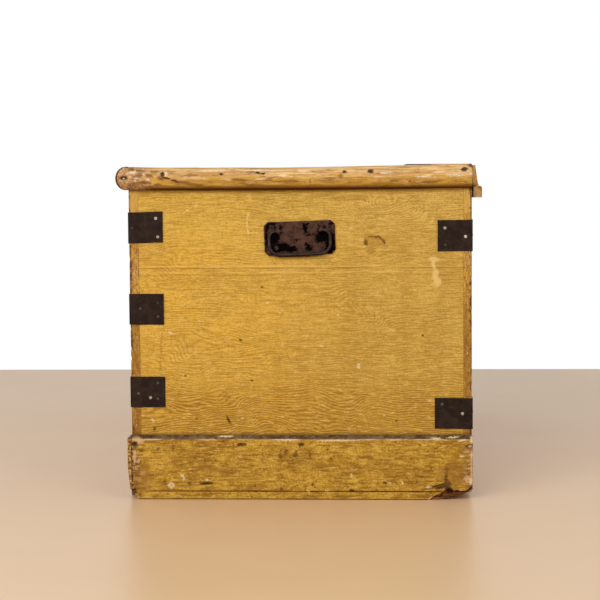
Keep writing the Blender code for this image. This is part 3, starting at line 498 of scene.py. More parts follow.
def plinth_paint(name, along, marks=()):
    """Darker scuffed graining paint, with bare patches at the corners and dust on the chamfer."""
    s = Surface(name, along, ragged=0.0056, tear=360)
    x, y, z = s.axes()
    grain = s.noise(s.grained(34, 330, 40), 3, 0.62)
    mottle = s.noise(s.grained(62, 84, 62), 6, 0.74)
    broad = s.noise((14, 14, 18), 3, 0.6)
    s.colour = s.blend(s.ramp(mottle, 0.4, 0.6), (0.612, 0.366, 0.048), (0.425, 0.23, 0.022))
    s.lay(s.ramp(broad, 0.5, 0.66, 0, 0.4), (0.27, 0.125, 0.014))
    s.lay(s.ramp(grain, 0.48, 0.64, 0, 0.7), (0.205, 0.094, 0.01))
    speckle = s.noise(380, 2, 0.7)
    s.lay(s.ramp(speckle, 0.48, 0.62, 0, 0.6), (0.215, 0.098, 0.011))
    lights = s.patches(s.grained(60, 260, 13), 0.53, 0.64, 4, 0.75)
    s.lay(lights, (0.72, 0.44, 0.095), 0.72)
    dark = s.patches(s.grained(95, 170), 0.62, 0.69, 5, 0.75)
    s.lay(dark, (0.09, 0.034, 0.006), 0.7)
    reach = s.minus(PLINTH_FACE_X, s.maths("ABSOLUTE", x))
    aside = s.minus(PLINTH_HALF_DEPTH, s.maths("ABSOLUTE", y))
    torn = s.centred(mottle, 0.09)
    corner = s.ramp(s.plus(s.plus(reach, aside), torn), 0.0175, 0.007)
    bare = s.blend(s.ramp(grain, 0.42, 0.6), (0.66, 0.4, 0.175), (0.2, 0.08, 0.02))
    soiled = s.patches((270, 270, 170), 0.47, 0.55, 5, 0.78)
    bare = s.blend(s.times(soiled, 0.85), bare, (0.06, 0.022, 0.007))
    s.lay(corner, bare, 0.85 if along == "y" else 0.5)
    arris = aside if along == "y" else reach
    worn_arris = s.ramp(s.plus(arris, s.times(torn, 0.1)), 0.0062, 0.0022)
    s.lay(worn_arris, bare, 0.6)
    dust = s.ramp(z, CHAMFER_Z - 0.001, CHAMFER_Z + 0.0006)
    dusty = s.blend(s.ramp(mottle, 0.42, 0.62), (0.066, 0.034, 0.016), (0.19, 0.116, 0.062))
    s.lay(dust, dusty)
    chip_line = s.ramp(s.distance(z, CHAMFER_Z - 0.001), 0.0016, 0.0005)
    chipped = s.patches(s.grained(24, 120, 24), 0.5, 0.6, 5, 0.7)
    s.lay(s.times(chip_line, chipped), (0.72, 0.5, 0.26), 0.8)
    away = s.distance(z, GROOVE_Z)
    groove = s.ramp(s.plus(away, s.centred(mottle, 0.003)), 0.0014, 0.0003)
    shown = s.ramp(y, -0.25, -0.19) if along == "y" else 1
    s.lay(s.times(groove, shown), (0.035, 0.012, 0.003), 0.85)
    # Painted contact shadow: near black along the plinth's foot.
    foot = s.ramp(s.plus(z, s.times(mottle, 0.003)), 0.0018, 0.0036, 0.95, 0)
    s.lay(foot, (0.012, 0.005, 0.002))
    holes = s.mark(marks, PLINTH_FACE_X)
    broken = s.node("ShaderNodeAttribute", attribute_name="broken").outputs["Fac"]
    inner = s.blend(s.ramp(grain, 0.38, 0.64), (0.215, 0.075, 0.018), (0.04, 0.01, 0.004))
    s.lay(s.ramp(broken, 0.25, 0.75), inner)
    splinter = s.times(s.ramp(broken, 0.02, 0.14), s.ramp(broken, 0.48, 0.3))
    s.lay(splinter, (0.76, 0.52, 0.3), 0.85)
    if marks:
        # Painted shadow in the bite's hollows.
        bite_shadow = s.spots(on_plane(BITE_SHADOW, PLINTH_FACE_X))
        s.lay(bite_shadow, (0.01, 0.003, 0.002), 0.92)
    height = s.minus(s.times(grain, -0.8), s.times(dark, 1.2))
    if holes is not None:
        height = s.plus(height, s.times(holes, -2))
    return s.finish(s.ramp(mottle, 0.3, 0.7, 0.5, 0.7), height, 0.0006)


def old_iron(name, dark, light, rust, rust_share, roughness=(0.52, 0.74), specular=0.08, shaded_underside=False):
    """Iron with an uneven dark skin, scuffs, a little rust and, when asked, painted shade on its underside.
    """
    s = Surface(name)
    cloud = s.noise(70, 5, 0.65)
    fine = s.noise(620, 3)
    s.colour = s.blend(s.ramp(cloud, 0.38, 0.66), dark, light)
    s.lay(s.ramp(fine, 0.5, 0.75, 0, 0.35), dark)
    s.lay(s.patches(130, 0.56, 0.68, 5, 0.7, to_high=rust_share), rust)  # flakes of rust
    if shaded_underside:
        # Painted shade: near black on faces that turn downwards.
        facing = s.node("ShaderNodeTexCoord").outputs["Normal"]
        upward = s.node("ShaderNodeSeparateXYZ", {0: facing}).outputs[2]
        s.lay(s.ramp(upward, 0.05, -0.55), (0.0016, 0.0008, 0.001))
    height = s.plus(s.times(cloud, 0.7), s.times(fine, 0.3))
    return s.finish(s.ramp(cloud, 0.3, 0.7, *roughness), height, specular=specular)


def japanned_iron(marks):
    """Brown worn iron on which black japanning is left in patches, with painted shadow beside its loops and
    under the bail.
    """
    s = Surface("japanned_iron", ragged=0.0085, tear=250)
    cloud = s.noise(110, 5, 0.62)
    fine = s.noise(700, 3)
    brown = s.blend(s.ramp(cloud, 0.38, 0.62), (0.092, 0.046, 0.032), (0.046, 0.021, 0.015))
    brown = s.blend(s.ramp(fine, 0.45, 0.72, 0, 0.5), brown, (0.125, 0.068, 0.048))
    patchy = s.patches(260, 0.6, 0.66, 4, 0.6)
    left = s.spots(on_plane(marks, PLATE_FACE_X), softness=0.22)
    # The black mask holds the japanning and the painted shadow by the loops and under the bail.
    japan_and_shadow = s.maths("MAXIMUM", left, s.times(patchy, 0.7))
    s.colour = s.blend(japan_and_shadow, brown, (0.0016, 0.0008, 0.0012))
    height = s.plus(s.times(japan_and_shadow, 0.6), s.times(fine, 0.25))
    return s.finish(s.ramp(japan_and_shadow, 0, 1, 0.56, 0.4), height, 0.00025, specular=0.02)


def floor_finish():
    s = Surface("pale_floor")
    grain = s.noise(3, 3)
    s.colour = s.blend(s.ramp(grain, 0.3, 0.7), (0.806, 0.558, 0.332), (0.778, 0.532, 0.312))
    return s.finish(0.36, specular=0.28)


# Meshes


def seeded(name):
    return random.Random(name)


def add_piece(name, verts, faces, materials, body, slot, face_slots=None, node=None):
    """A mesh piece that rides on a body of the trunk, in place of a node if one is given."""
    mesh = bpy.data.meshes.new(name)
    mesh.from_pydata([tuple(p) for p in verts], [], [tuple(f) for f in faces])
    for material in materials:
        mesh.materials.append(material)
    if face_slots is not None:
        mesh.polygons.foreach_set("material_index", np.asarray(face_slots, dtype=np.int32))
    shape = bmesh.new()
    shape.from_mesh(mesh)
    bmesh.ops.recalc_face_normals(shape, faces=shape.faces)
    shape.to_mesh(mesh)
    shape.free()
    mesh.shade_smooth()
    mesh.set_sharp_from_angle(angle=math.radians(40))
    mesh.update()
    piece = put(name, mesh)
    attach(piece, body)
    if node:
        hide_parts(node)
    return piece


def softened(node, materials, body, slot, width, pick=None):
    """A copy of a node's solid with its edges eased, in its place."""
    shape = bmesh.new()
    shape.from_mesh(NODES[node].data)
    bmesh.ops.remove_doubles(shape, verts=shape.verts, dist=1e-6)
    bmesh.ops.dissolve_limit(shape, angle_limit=math.radians(1), verts=shape.verts, edges=shape.edges)
    steep = math.radians(30)
    edges = [e for e in shape.edges if len(e.link_faces) == 2 and e.calc_face_angle() > steep]
    ease = {"offset": width, "segments": 2, "profile": 0.6, "affect": "EDGES", "clamp_overlap": True}
    bmesh.ops.bevel(shape, geom=edges, **ease)
    bmesh.ops.triangulate(shape, faces=shape.faces)
    verts = [v.co.copy() for v in shape.verts]
    shape.faces.ensure_lookup_table()
    faces = [[v.index for v in f.verts] for f in shape.faces]
    slots = [pick(f.normal) if pick else 0 for f in shape.faces]
    shape.free()
    add_piece(f"worn_{node}", verts, faces, materials, body, slot, slots, node)


def bump(away, width):
    """1 in the middle of a place and fading to 0 around it."""
    return np.exp(-((away / width) ** 2))


def rough_field(points, scale, seed):
    """Smooth noise from about -1 to 1 at each point."""
    shift = Vector((seed * 3.17, seed * 7.31, seed * 1.73))
    return np.array([noise.noise(Vector(p * scale) + shift) for p in points])


def divided(start, end, spacing, extra=()):
    """Places from start to end: close together by the ends, then evenly spaced, with the extra ones."""
    near = [n for n in (0.0004, 0.001, 0.002, 0.004) if n < (end - start) / 2]
    ends = [start + n for n in near] + [end - n for n in near]
    kept = sorted({start, end, *ends, *[e for e in extra if start < e < end]})
    places = [kept[0]]
    for first, second in zip(kept, kept[1:]):
        count = max(1, round((second - first) / spacing))
        places += [first + (second - first) * i / count for i in range(1, count + 1)]
    return np.array(places)


def lattice(xs, ys, zs, filled=None):
    """The closed surface of a block of cells, from which filled(x, y, z) can leave some out."""
    mx, my, mz = ((a[1:] + a[:-1]) / 2 for a in (xs, ys, zs))
    cx, cy, cz = np.meshgrid(mx, my, mz, indexing="ij")
    solid = np.ones(cx.shape, bool) if filled is None else filled(cx, cy, cz)
    padded = np.pad(solid, 1)
    core = padded[1:-1, 1:-1, 1:-1]
    size = (len(xs), len(ys), len(zs))
    quads, facing = [], []
    for axis in range(3):
        for sign in (-1, 1):
            outside = ~np.roll(padded, -sign, axis)[1:-1, 1:-1, 1:-1]
            corner = list(np.nonzero(core & outside))
            corner[axis] = corner[axis] + (sign > 0)
            b, c = (axis + 1) % 3, (axis + 2) % 3
            ring = [(0, 0), (1, 0), (1, 1), (0, 1)] if sign > 0 else [(0, 0), (0, 1), (1, 1), (1, 0)]
            loops = []
            for step_b, step_c in ring:
                place = list(corner)
                place[b] = place[b] + step_b
                place[c] = place[c] + step_c
                loops.append((place[0] * size[1] + place[1]) * size[2] + place[2])
            quads.append(np.stack(loops, axis=1))
            facing += [(axis, sign)] * len(corner[0])
    quads = np.concatenate(quads)
    used, faces = np.unique(quads, return_inverse=True)
    i, rest = np.divmod(used, size[1] * size[2])
    j, k = np.divmod(rest, size[2])
    return np.stack([xs[i], ys[j], zs[k]], axis=1), faces.reshape(-1, 4), np.array(facing)


def eased(points, start, end, radii):
    """Rounds the edges of a block by its own radius at each point and axis."""
    start, end = np.array(start), np.array(end)
    core = np.clip(points, start + radii, end - radii)
    out = (points - core) / radii
    length = np.linalg.norm(out, axis=1, keepdims=True)
    pushed = core + radii * out / np.maximum(length, 1e-9)
    return np.where(length > 1, pushed, points)


def worn_board(node, materials, body, spacing, radius_of, paint_of, grow, filled=None, extra=((), (), ())):
    """A board in its node's place, with edges worn by uneven amounts."""
    start, end = low(node), high(node)
    axes = [divided(start[i], end[i], spacing[i], extra[i]) for i in range(3)]
    points, faces, facing = lattice(*axes, filled=filled)
    seed = seeded(node).random() * 50
    wear = 1 + 0.55 * rough_field(points, 28.0, seed) + 0.35 * rough_field(points, 90.0, seed + 1)
    radii = radius_of(points) * np.clip(wear, 0.25, 2.0)[:, None]
    points = grow(eased(points, start, end, radii), start, end)
    slots = [paint_of(axis, sign) for axis, sign in facing]
    return add_piece(f"worn_{node}", points, faces, materials, body, "painted_pine", slots, node)


# Boards of the carcase


# What the photograph shows on this end, in its pixels: x, y, half width, half height and any turn
END_MARKS = (
    (
        (
            # Dark knots, pinholes and scratches; the long thin mark under the handle plate is painted shadow.
            (365.8, 242.4, 2, 3.2, 8), (376.7, 236.9, 4, 1.3, 3), (371, 236.6, 3, 0.8, -4),
            (380.9, 238.6, 2.2, 1, -32), (383.8, 241.4, 1.4, 3, 28), (294, 256.5, 23, 0.9, 0.6),
            (262, 287, 1.2, 1), (422.7, 335.6, 1.2, 1.3), (240.5, 340, 1.7, 1.1, -20),
            (185.5, 375.5, 1, 0.9), (252, 380.5, 1.4, 0.9), (396.5, 420.8, 1.4, 0.8),
            (196.5, 418.5, 1, 0.9), (228.6, 420, 1.3, 4.6, 28), (154.5, 429, 1.2, 2),
        ),
        (0.06, 0.02, 0.003),
        0.86,
    ),
    (
        (
            # Brown marks: a crack, the knot's smudges and stains; the long thin mark under the handle plate
            # is a softer painted shadow.
            (161.8, 338, 1.2, 6, -4), (161.2, 350, 1.3, 7, 3), (160.6, 364, 1.2, 8, -3),
            (366.8, 237, 2.8, 4.8), (370.5, 235, 5, 2.4), (371.3, 226.8, 4.6, 2.6),
            (373.6, 243.4, 3, 2.2), (370.8, 250, 4.6, 4.5), (386, 246.6, 2.6, 2.2),
            (376.4, 232.7, 2.8, 0.9, 8), (376, 241.5, 10, 5), (388, 252.4, 8, 1, -3),
            (146.8, 286.2, 2.2, 1.2), (158, 285.8, 1.8, 1.4), (300, 258.6, 30, 1.2, 1),
            (350, 198, 22, 3.2, 3), (226, 396, 3, 5.5, 24),
        ),
        (0.33, 0.16, 0.018),
        0.42,
    ),
    (
        (
            (434, 259, 5.4, 2.4, -8), (433.6, 265, 2, 5.5, 8), (435.4, 274.5, 3, 5.6, -12),
            (437.4, 281.8, 4, 4.4, 24), (247.6, 217, 0.9, 3.6, -8), (246.9, 224, 0.9, 3.8),
            (247.8, 231, 0.9, 3.2, 10), (196, 205.5, 2.2, 1.1, 30), (187, 210.5, 7, 0.5, 38),
        ),
        (0.83, 0.6, 0.225),
        0.68,
    ),
    (
        (
            (358.7, 366, 1.8, 2.6), (321.2, 346, 1.9, 0.8), (338, 315, 1.3, 0.7), (199, 321, 1.2, 1),
            (267.5, 303, 1.4, 1), (279.5, 312.5, 1.3, 0.8), (350.4, 228, 1.2, 1),
            (170.5, 333, 2.4, 1, -20), (429.3, 401, 1.2, 0.8), (384.4, 415.4, 1.4, 0.6),
            (242.5, 418.5, 1.1, 0.8), (153, 420.6, 1, 2.2, 20),
        ),
        PALE_CHIP,
        0.7,
    ),
)
# Chips out of the long boards' arrises, in the photograph's pixels
FRONT_CHIPS = ((130, 260), (130, 329), (130.5, 349), (131, 358.5))
BACK_CHIPS = ((472, 312), (472, 387))


def close_joints(points, start, end, axes=(1, 2)):
    """Lets a board reach almost to its neighbours, so that their joints are hairlines."""
    edge, reach = 0.0005, 0.00013
    for axis in axes:
        points[:, axis] -= reach * (points[:, axis] < start[axis] + edge)
        points[:, axis] += reach * (points[:, axis] > end[axis] - edge)
    return points


def close_upright_joints(points, start, end):
    """Does the same for a long board, whose faces stay where they are."""
    return close_joints(points, start, end, (2,))


def chipped_radii(points, side, chips):
    """Easing of a long board: a worn outer arris, with longer chips out of its right end."""
    hairline, worn = 0.00015, 0.0015
    radii = np.full((len(points), 3), hairline)
    middle = (points[:, 1].min() + points[:, 1].max()) / 2
    outer = side * (points[:, 1] - middle) > 0
    radii[outer, :2] = worn
    for px, py in chips:
        height = at(px, py)[1]
        near = bump(points[:, 2] - height, 0.0026) * outer * (points[:, 0] > 0)
        radii[:, 0] += 0.009 * near
        radii[:, 1] += 0.0012 * near
    return radii


def wall_boards():
    end_joint, side_joint = high("right_end_middle_board").z, high("front_middle_board").z
    right_paint = combed_paint("right_end_paint", "y", "z", END_MARKS, end_joint, PLINTH_TOP)
    left_paint = combed_paint("left_end_paint", "y", "z", (), end_joint, PLINTH_TOP)
    front_paint = combed_paint("front_paint", "x", "z", (), side_joint, PLINTH_TOP)
    back_paint = combed_paint("back_paint", "x", "z", (), side_joint, low("back_lower_board").z)
    end_bare = bare_wood("end_bare_pine", "y", "z")
    side_bare = bare_wood("side_bare_pine", "x", "z")
    front_grain = edge_grain("front_edge_grain", FRONT_Y, (0.39, 0.18, 0.034))
    back_grain = edge_grain("back_edge_grain", BACK_Y, (0.41, 0.215, 0.036))
    hairline = 0.0001
    for level in ("lower", "middle", "upper"):
        for end, side, paint in (("right", 1, right_paint), ("left", -1, left_paint)):
            worn_board(
                f"{end}_end_{level}_board",
                (paint, end_bare),
                "carcase",
                (0.01, 0.006, 0.006),
                lambda p: np.full((len(p), 3), hairline),
                lambda axis, sign, side=side: 0 if (axis, sign) == (0, side) else 1,
                close_joints,
            )
        for wall, side, lap_y, paint, grain, chips in (
            ("front", -1, FRONT_Y + FRONT_LAP, front_paint, front_grain, FRONT_CHIPS),
            ("back", 1, BACK_Y - BACK_LAP, back_paint, back_grain, BACK_CHIPS),
        ):

            def boarded(x, y, z, side=side, lap_y=lap_y):
                return ~((np.abs(x) > LAP_X) & (side * y < side * lap_y))

            def paint_of(axis, sign, side=side):
                if axis == 0:
                    return 2
                return 0 if (axis, sign) == (1, side) else 1

            chip_x = (END_X - 0.0065, END_X - 0.0095)
            piece = worn_board(
                f"{wall}_{level}_board",
                (paint, side_bare, grain),
                "carcase",
                (0.012, 0.006, 0.0036),
                lambda p, side=side, chips=chips: chipped_radii(p, side, chips),
                paint_of,
                close_upright_joints,
                boarded,
                ((-LAP_X, LAP_X, *chip_x), (lap_y,), ()),
            )
            if (wall, level) == ("front", "upper"):
                cut_keyhole(piece)


def cut_keyhole(piece):
    """Cuts the keyhole's round head and slot through the front board."""
    radius, half, drop, z = 0.0034, 0.0015, 0.0105, 0.4236
    ahead, behind = 0.004, 0.026
    spread = math.asin(half / radius)
    outline = []
    for i in range(19):
        a = spread - math.pi / 2 + (2 * math.pi - 2 * spread) * i / 18
        outline.append((radius * math.cos(a), z + radius * math.sin(a)))
    outline += [(-half, z - drop), (half, z - drop)]
    shape = bmesh.new()
    rings = []
    for y in (FRONT_Y - ahead, FRONT_Y + behind):
        rings.append([shape.verts.new((x, y, up)) for x, up in outline])
    shape.faces.new(rings[0][::-1])
    shape.faces.new(rings[1])
    for i in range(len(outline)):
        j = (i + 1) % len(outline)
        shape.faces.new((rings[0][i], rings[0][j], rings[1][j], rings[1][i]))
    bmesh.ops.recalc_face_normals(shape, faces=shape.faces)
    mesh = bpy.data.meshes.new("keyhole_cutter")
    shape.to_mesh(mesh)
    shape.free()
    cutter = put("keyhole_cutter", mesh)
    step = piece.modifiers.new("keyhole", "BOOLEAN")
    step.operation = "DIFFERENCE"
    step.object = cutter
    bpy.context.view_layer.update()
    graph = bpy.context.evaluated_depsgraph_get()
    cut = bpy.data.meshes.new_from_object(piece.evaluated_get(graph))
    piece.modifiers.clear()
    piece.data = cut
    bpy.data.objects.remove(cutter)


# Plinth


# Marks on the plinth, given as those on the end
PLINTH_MARKS = (
    (
        (
            # Dark holes, cracks and a joint line; the round mark inside the bite's hollow is painted shadow.
            (135, 444.5, 2.2, 2.8, 20), (241.6, 444.5, 4.6, 1.3, 2), (206.5, 483.5, 6.2, 1.1, 3),
            (301, 444.7, 2.8, 1.6), (384.8, 482.7, 1.8, 1.1), (171.5, 485.2, 1.1, 1.1),
            (446.4, 478, 1.4, 4), (435.5, 486.4, 10, 0.7, 16), (449, 490.4, 3, 3.2), (134, 491, 2.4, 2.4),
            (131.8, 463, 0.5, 22), (447.2, 485, 3.2, 4.2), (441, 487.4, 6, 1, 14), (469.2, 446.4, 3.4, 2),
            (352, 490.5, 2.4, 1.1),
        ),
        DEEP,
        0.86,
    ),
    (
        (
            (141.4, 450.4, 2.6, 1.7), (139.6, 468.4, 1.3, 1.8), (138.6, 475.4, 1.4, 1),
            (135.3, 473.6, 0.9, 2), (137.8, 483.8, 2, 1.2), (135, 488, 1.4, 1.4),
            (140.4, 494.6, 1.6, 2.4), (158.2, 449, 1.8, 1.8), (172.8, 447, 0.8, 6, 4),
            (219, 445.5, 2, 0.9, 10), (419.9, 445.3, 1.9, 1.2), (419.9, 476.5, 3.2, 0.8, -6),
            (280.4, 456.2, 2.4, 2.4), (285.6, 451.9, 1.7, 3.6, -10), (295.3, 454.4, 2.6, 3.2),
            (446.6, 470, 1.6, 4), (430.6, 493, 1.8, 1), (214, 451.5, 1.6, 1), (338, 490.5, 2, 1),
            (377, 490.5, 2, 0.9), (390, 484, 1.2, 0.9), (165, 482, 2, 3.4), (310, 455, 1, 4, 10),
        ),
        (0.105, 0.042, 0.011),
        0.66,
    ),
    (
        (
            (171.5, 485.2, 3, 2.8), (182, 475.5, 1.7, 1.8), (184, 478.8, 0.9, 2.4, -30),
            (206.8, 480, 1.6, 1), (308.2, 490.8, 1.6, 0.7), (327.6, 490.8, 2, 0.7),
            (351.4, 475.7, 0.7, 2), (390, 483.6, 1.2, 0.8), (402.5, 483, 1, 1.4), (428.6, 487.4, 3, 1, 8),
            (453, 437.6, 6, 0.8, 4), (436, 438.6, 5, 0.8, -6), (226, 436.6, 8, 0.7), (286, 440, 14, 0.7),
            (338, 440.6, 22, 0.8, 1), (469.8, 446.6, 1.6, 1.2), (471.6, 440, 1.5, 3.4),
            (462, 440.6, 4, 0.8, 10), (471.8, 455, 1, 5), (470.6, 481, 1.8, 3.4),
            (430.5, 498.4, 2.6, 0.8, 36), (467, 452, 3.2, 1), (462, 456.5, 2, 0.8),
        ),
        PALE_CHIP,
        0.8,
    ),
    (
        (
            (138.5, 440.5, 5.5, 2.8, -20), (134.6, 457, 1.5, 6.5), (138.8, 461, 1.2, 3),
            (142.6, 473.2, 2.4, 2.2, 20), (138.8, 479.8, 2.6, 1.4), (148.4, 482.6, 1.8, 1),
            (471.6, 466, 1.2, 17), (467, 479, 3.2, 4),
        ),
        (0.68, 0.43, 0.21),
        0.75,
    ),
    (
        (
            (452, 474, 15, 11), (466, 450, 7, 5), (143, 478, 9, 16), (206, 468, 12, 3.6),
            (229, 471, 11, 4), (257, 486, 12, 2.6),
        ),
        (0.26, 0.11, 0.018),
        0.5,
    ),
)
# The bite at the plinth's back foot: where the mesh gets finer for it, its point, and the painted shadow in
# its hollows
BITE_START, BITE_TOE = (425, 499), (427.5, 499.7)
BITE_SHADOW = (
    (449.5, 491, 4, 2.8, -20), (459, 492.2, 8, 0.9, 2), (469.5, 489.3, 2.6, 0.9, 40),
    (441.5, 495.6, 2.4, 0.9, 25),
)
# The worn outline of the plinth's front foot, and the upper and lower line of the bite, in pixels
FRONT_FOOT = (
    (127.4, 452), (127.8, 466), (129, 478), (130.2, 488), (132, 491), (136, 495), (138, 498.2),
    (141.8, 500.4),
)
SPLIT_LINE = (
    (426, 501.5), (430, 498.6), (434, 496), (440, 493.4), (443.5, 491.2), (447, 488.6), (452, 489.8),
    (459, 490.8), (466, 490.2), (469, 488), (471, 486.5), (473.5, 485.4),
)
BITTEN_FOOT = (
    (425, 500.8), (440, 499.4), (450, 498.2), (460, 496.4), (465, 493.6), (473.5, 489.6),
)
# Heights of the plinths' mesh: close together at the worn foot, by the groove and at the chamfer
FOOT_LEVELS = (0.0016, 0.0026, 0.0038, 0.0052, 0.0066, 0.008, 0.0094, 0.0152, 0.017, 0.019)
GROOVE_LEVELS = tuple(GROOVE_Z + step for step in (-0.0014, -0.0005, 0, 0.0005, 0.0014))
PLINTH_LEVELS = FOOT_LEVELS + GROOVE_LEVELS + (CHAMFER_Z, CHAMFER_Z - 0.0012)
# The groove, and where it fades in on an end plinth
GROOVE_WIDTH, GROOVE_DEPTH = 0.0007, 0.0011
GROOVE_START_Y, GROOVE_FADE = -0.236, 0.03


def along_line(y, line):
    """The height of a line of photograph pixels above each place on the plinth's end face."""
    places = [at(px, py, PLINTH_FACE_X) for px, py in line]
    return np.interp(y, [p[0] for p in places], [p[1] for p in places])


def worn_plinths():
    right_paint = plinth_paint("right_plinth_paint", "y", PLINTH_MARKS)
    left_paint = plinth_paint("left_plinth_paint", "y")
    front_paint = plinth_paint("front_plinth_paint", "x")
    bare = bare_wood("plinth_bare_pine", "y", "z")
    for name, axis, side, paint, spacing in (
        ("right_plinth", 0, 1, right_paint, 0.0022),
        ("left_plinth", 0, -1, left_paint, 0.004),
        ("front_plinth", 1, -1, front_paint, 0.005),
    ):
        start, end = low(name), high(name)
        steps = [spacing, spacing, 0.004]
        steps[axis] = 0.0025
        extra = [(), (), PLINTH_LEVELS]
        if name == "right_plinth":
            extra[1] = tuple(np.arange(at(*BITE_START, PLINTH_FACE_X)[0], end.y, 0.0011))
        if name == "front_plinth":
            extra[0] = tuple(np.arange(end.x - 0.04, end.x, 0.002))
        points, faces, facing = lattice(*[divided(start[i], end[i], steps[i], extra[i]) for i in range(3)])
        seed = seeded(name).random() * 50
        wear = 1 + 0.6 * rough_field(points, 40.0, seed) + 0.5 * rough_field(points, 130.0, seed + 2)
        radii = np.full((len(points), 3), 0.0012) * np.clip(wear, 0.3, 2.2)[:, None]
        radii[points[:, 2] < 0.02] *= 1.3
        points = eased(points, start, end, radii)
        seat_at = start[axis] if side > 0 else end[axis]
        thickness = end[axis] - start[axis]
        out = np.abs(points[:, axis] - seat_at)
        over = np.clip(points[:, 2] - CHAMFER_Z, 0, CHAMFER)
        share = out / thickness
        groove = bump(points[:, 2] - GROOVE_Z, GROOVE_WIDTH) * GROOVE_DEPTH
        if axis == 0:
            groove *= np.clip((points[:, 1] - GROOVE_START_Y) / GROOVE_FADE, 0, 1)
        dents = 0.00035 * rough_field(points, 55, seed + 6) + 0.0002 * rough_field(points, 190, seed + 7)
        out = out * (thickness - 0.92 * over) / thickness
        out = out - share * (np.clip(dents, -0.0002, 0.0008) + 0.0002 + groove)
        torn = np.zeros(len(points))
        if name == "right_plinth":
            out, torn = break_corner(points, out, thickness)
        points[:, axis] = seat_at + side * out
        round_front_foot(points, name)
        slots = [int((a, s) == (axis, -side)) for a, s in facing]
        look = ((paint, bare), "carcase", "painted_plinth", slots, name)
        piece = add_piece(f"worn_{name}", points, faces, *look)
        layer = piece.data.attributes.new("broken", "FLOAT", "POINT")
        layer.data.foreach_set("value", torn.astype(np.float32))


def round_front_foot(points, name):
    """Wears the front foot of the right end round, through the end plinth and the front plinth."""
    if name == "left_plinth":
        return
    front = name == "front_plinth"
    worn_height, worn_length = 0.0165, 0.034
    fade = np.clip(1 - (PLINTH_FACE_X - points[:, 0]) / worn_length, 0, 1) ** 0.6 if front else 1
    lift = np.minimum(along_line(points[:, 1], FRONT_FOOT), worn_height) * fade
    lift = lift * (points[:, 1] < at(*FRONT_FOOT[-1], PLINTH_FACE_X)[0])
    points[:, 2] = np.maximum(points[:, 2], np.maximum(lift, 0) * (points[:, 2] < worn_height))
    if front:
        places = [at(px, py, PLINTH_FACE_X) for px, py in FRONT_FOOT[::-1]]
        inner = np.interp(points[:, 2], [p[1] for p in places], [p[0] for p in places])
        inner = np.minimum(inner, high("front_plinth").y - 0.0016)
        leaned = PLINTH_FRONT_Y + (inner - PLINTH_FRONT_Y) * fade
        outer = points[:, 1] < high("front_plinth").y - 0.0014
        points[:, 1] = np.where(outer, np.maximum(points[:, 1], leaned), points[:, 1])


def break_corner(points, out, thickness):
    """The splintered bite at the plinth's back foot: a ragged split, and bare wood hollowed below it."""
    y, z = points[:, 1], points[:, 2]
    toe = at(*BITE_TOE, PLINTH_FACE_X)[0]
    ragged = 0.0011 * rough_field(points * np.array([0.2, 1, 0.2]), 170.0, 3.0)
    ragged = ragged + 0.0006 * rough_field(points * np.array([0.2, 1, 0.2]), 520.0, 5.0)
    split = along_line(y, SPLIT_LINE) + ragged
    inside = np.clip((split - z) / 0.0011, 0, 1) * (y > toe)
    back = high("right_plinth").y
    hollow = np.interp(y, [toe, toe + 0.012, toe + 0.03, back], [0.0008, 0.0034, 0.0052, 0.0058])
    deep = inside * (hollow + 0.0007 * rough_field(points * np.array([0.2, 0.5, 1.6]), 260.0, 9.0))
    carved = np.minimum(out, np.maximum(thickness - deep, 0.0014))
    carved = np.where(inside > 0, carved, out)
    lift = np.maximum(along_line(y, BITTEN_FOOT) + 0.6 * ragged, 0.0) * (y > toe)
    points[:, 2] = np.where((z < lift) & (y > toe), lift, z)
    return carved, inside


# Lid


def worn_lid_top(points, start, end):
    """Lowers the tops of the boards where the photograph shows the lid's outline dip."""
    dip_front, dip_back, dip, skin, rough_y = -0.252, 0.105, 0.002, 0.004, 0.14
    y = points[:, 1]
    share = np.clip((y - dip_front) / 0.03, 0, 1) * np.clip((dip_back - y) / 0.05, 0, 1)
    upper = np.clip((points[:, 2] - (end[2] - skin)) / skin, 0, 1)
    bumps = 0.0003 * (1 + rough_field(points, 22.0, 4.0))
    points[:, 2] -= upper * (dip * share + bumps * (np.abs(y) < rough_y))
    return points


def lid_boards():
    paint = combed_paint("lid_paint", "x", "y")
    bare = bare_wood("lid_bare_pine", "x", "y")
    for place in ("front", "middle", "back"):
        worn_board(
            f"lid_{place}_board",
            (paint, bare),
            "lid",
            (0.012, 0.008, 0.007),
            lambda p: np.full((len(p), 3), 0.0003),
            lambda axis, sign: 0 if (axis, sign) == (2, 1) else 1,
            worn_lid_top,
        )


def tube_faces(rings, count):
    """The faces between rings of so many points each."""
    faces = []
    for i in range(rings - 1):
        for j in range(count):
            k = (j + 1) % count
            faces.append((i * count + j, i * count + k, (i + 1) * count + k, (i + 1) * count + j))
    return faces


def sweep_moulding(node, section, stations, place, wood):
    """A section carried along stations: place(section points, station) gives its points in space."""
    verts = np.stack([place(section, t) for t in stations]).reshape(-1, 3)
    count = len(section)
    ends = []
    for ring, step in ((0, -1), (len(stations) - 1, 1)):
        centre = len(verts)
        verts = np.vstack([verts, verts[ring * count : (ring + 1) * count].mean(axis=0)])
        for j in range(count):
            pair = (ring * count + j, ring * count + (j + 1) % count)
            ends.append((*pair[::step], centre))
    faces = tube_faces(len(stations), count) + ends
    add_piece(f"worn_{node}", verts, faces, (wood,), "lid", "worn_moulding", node=node)


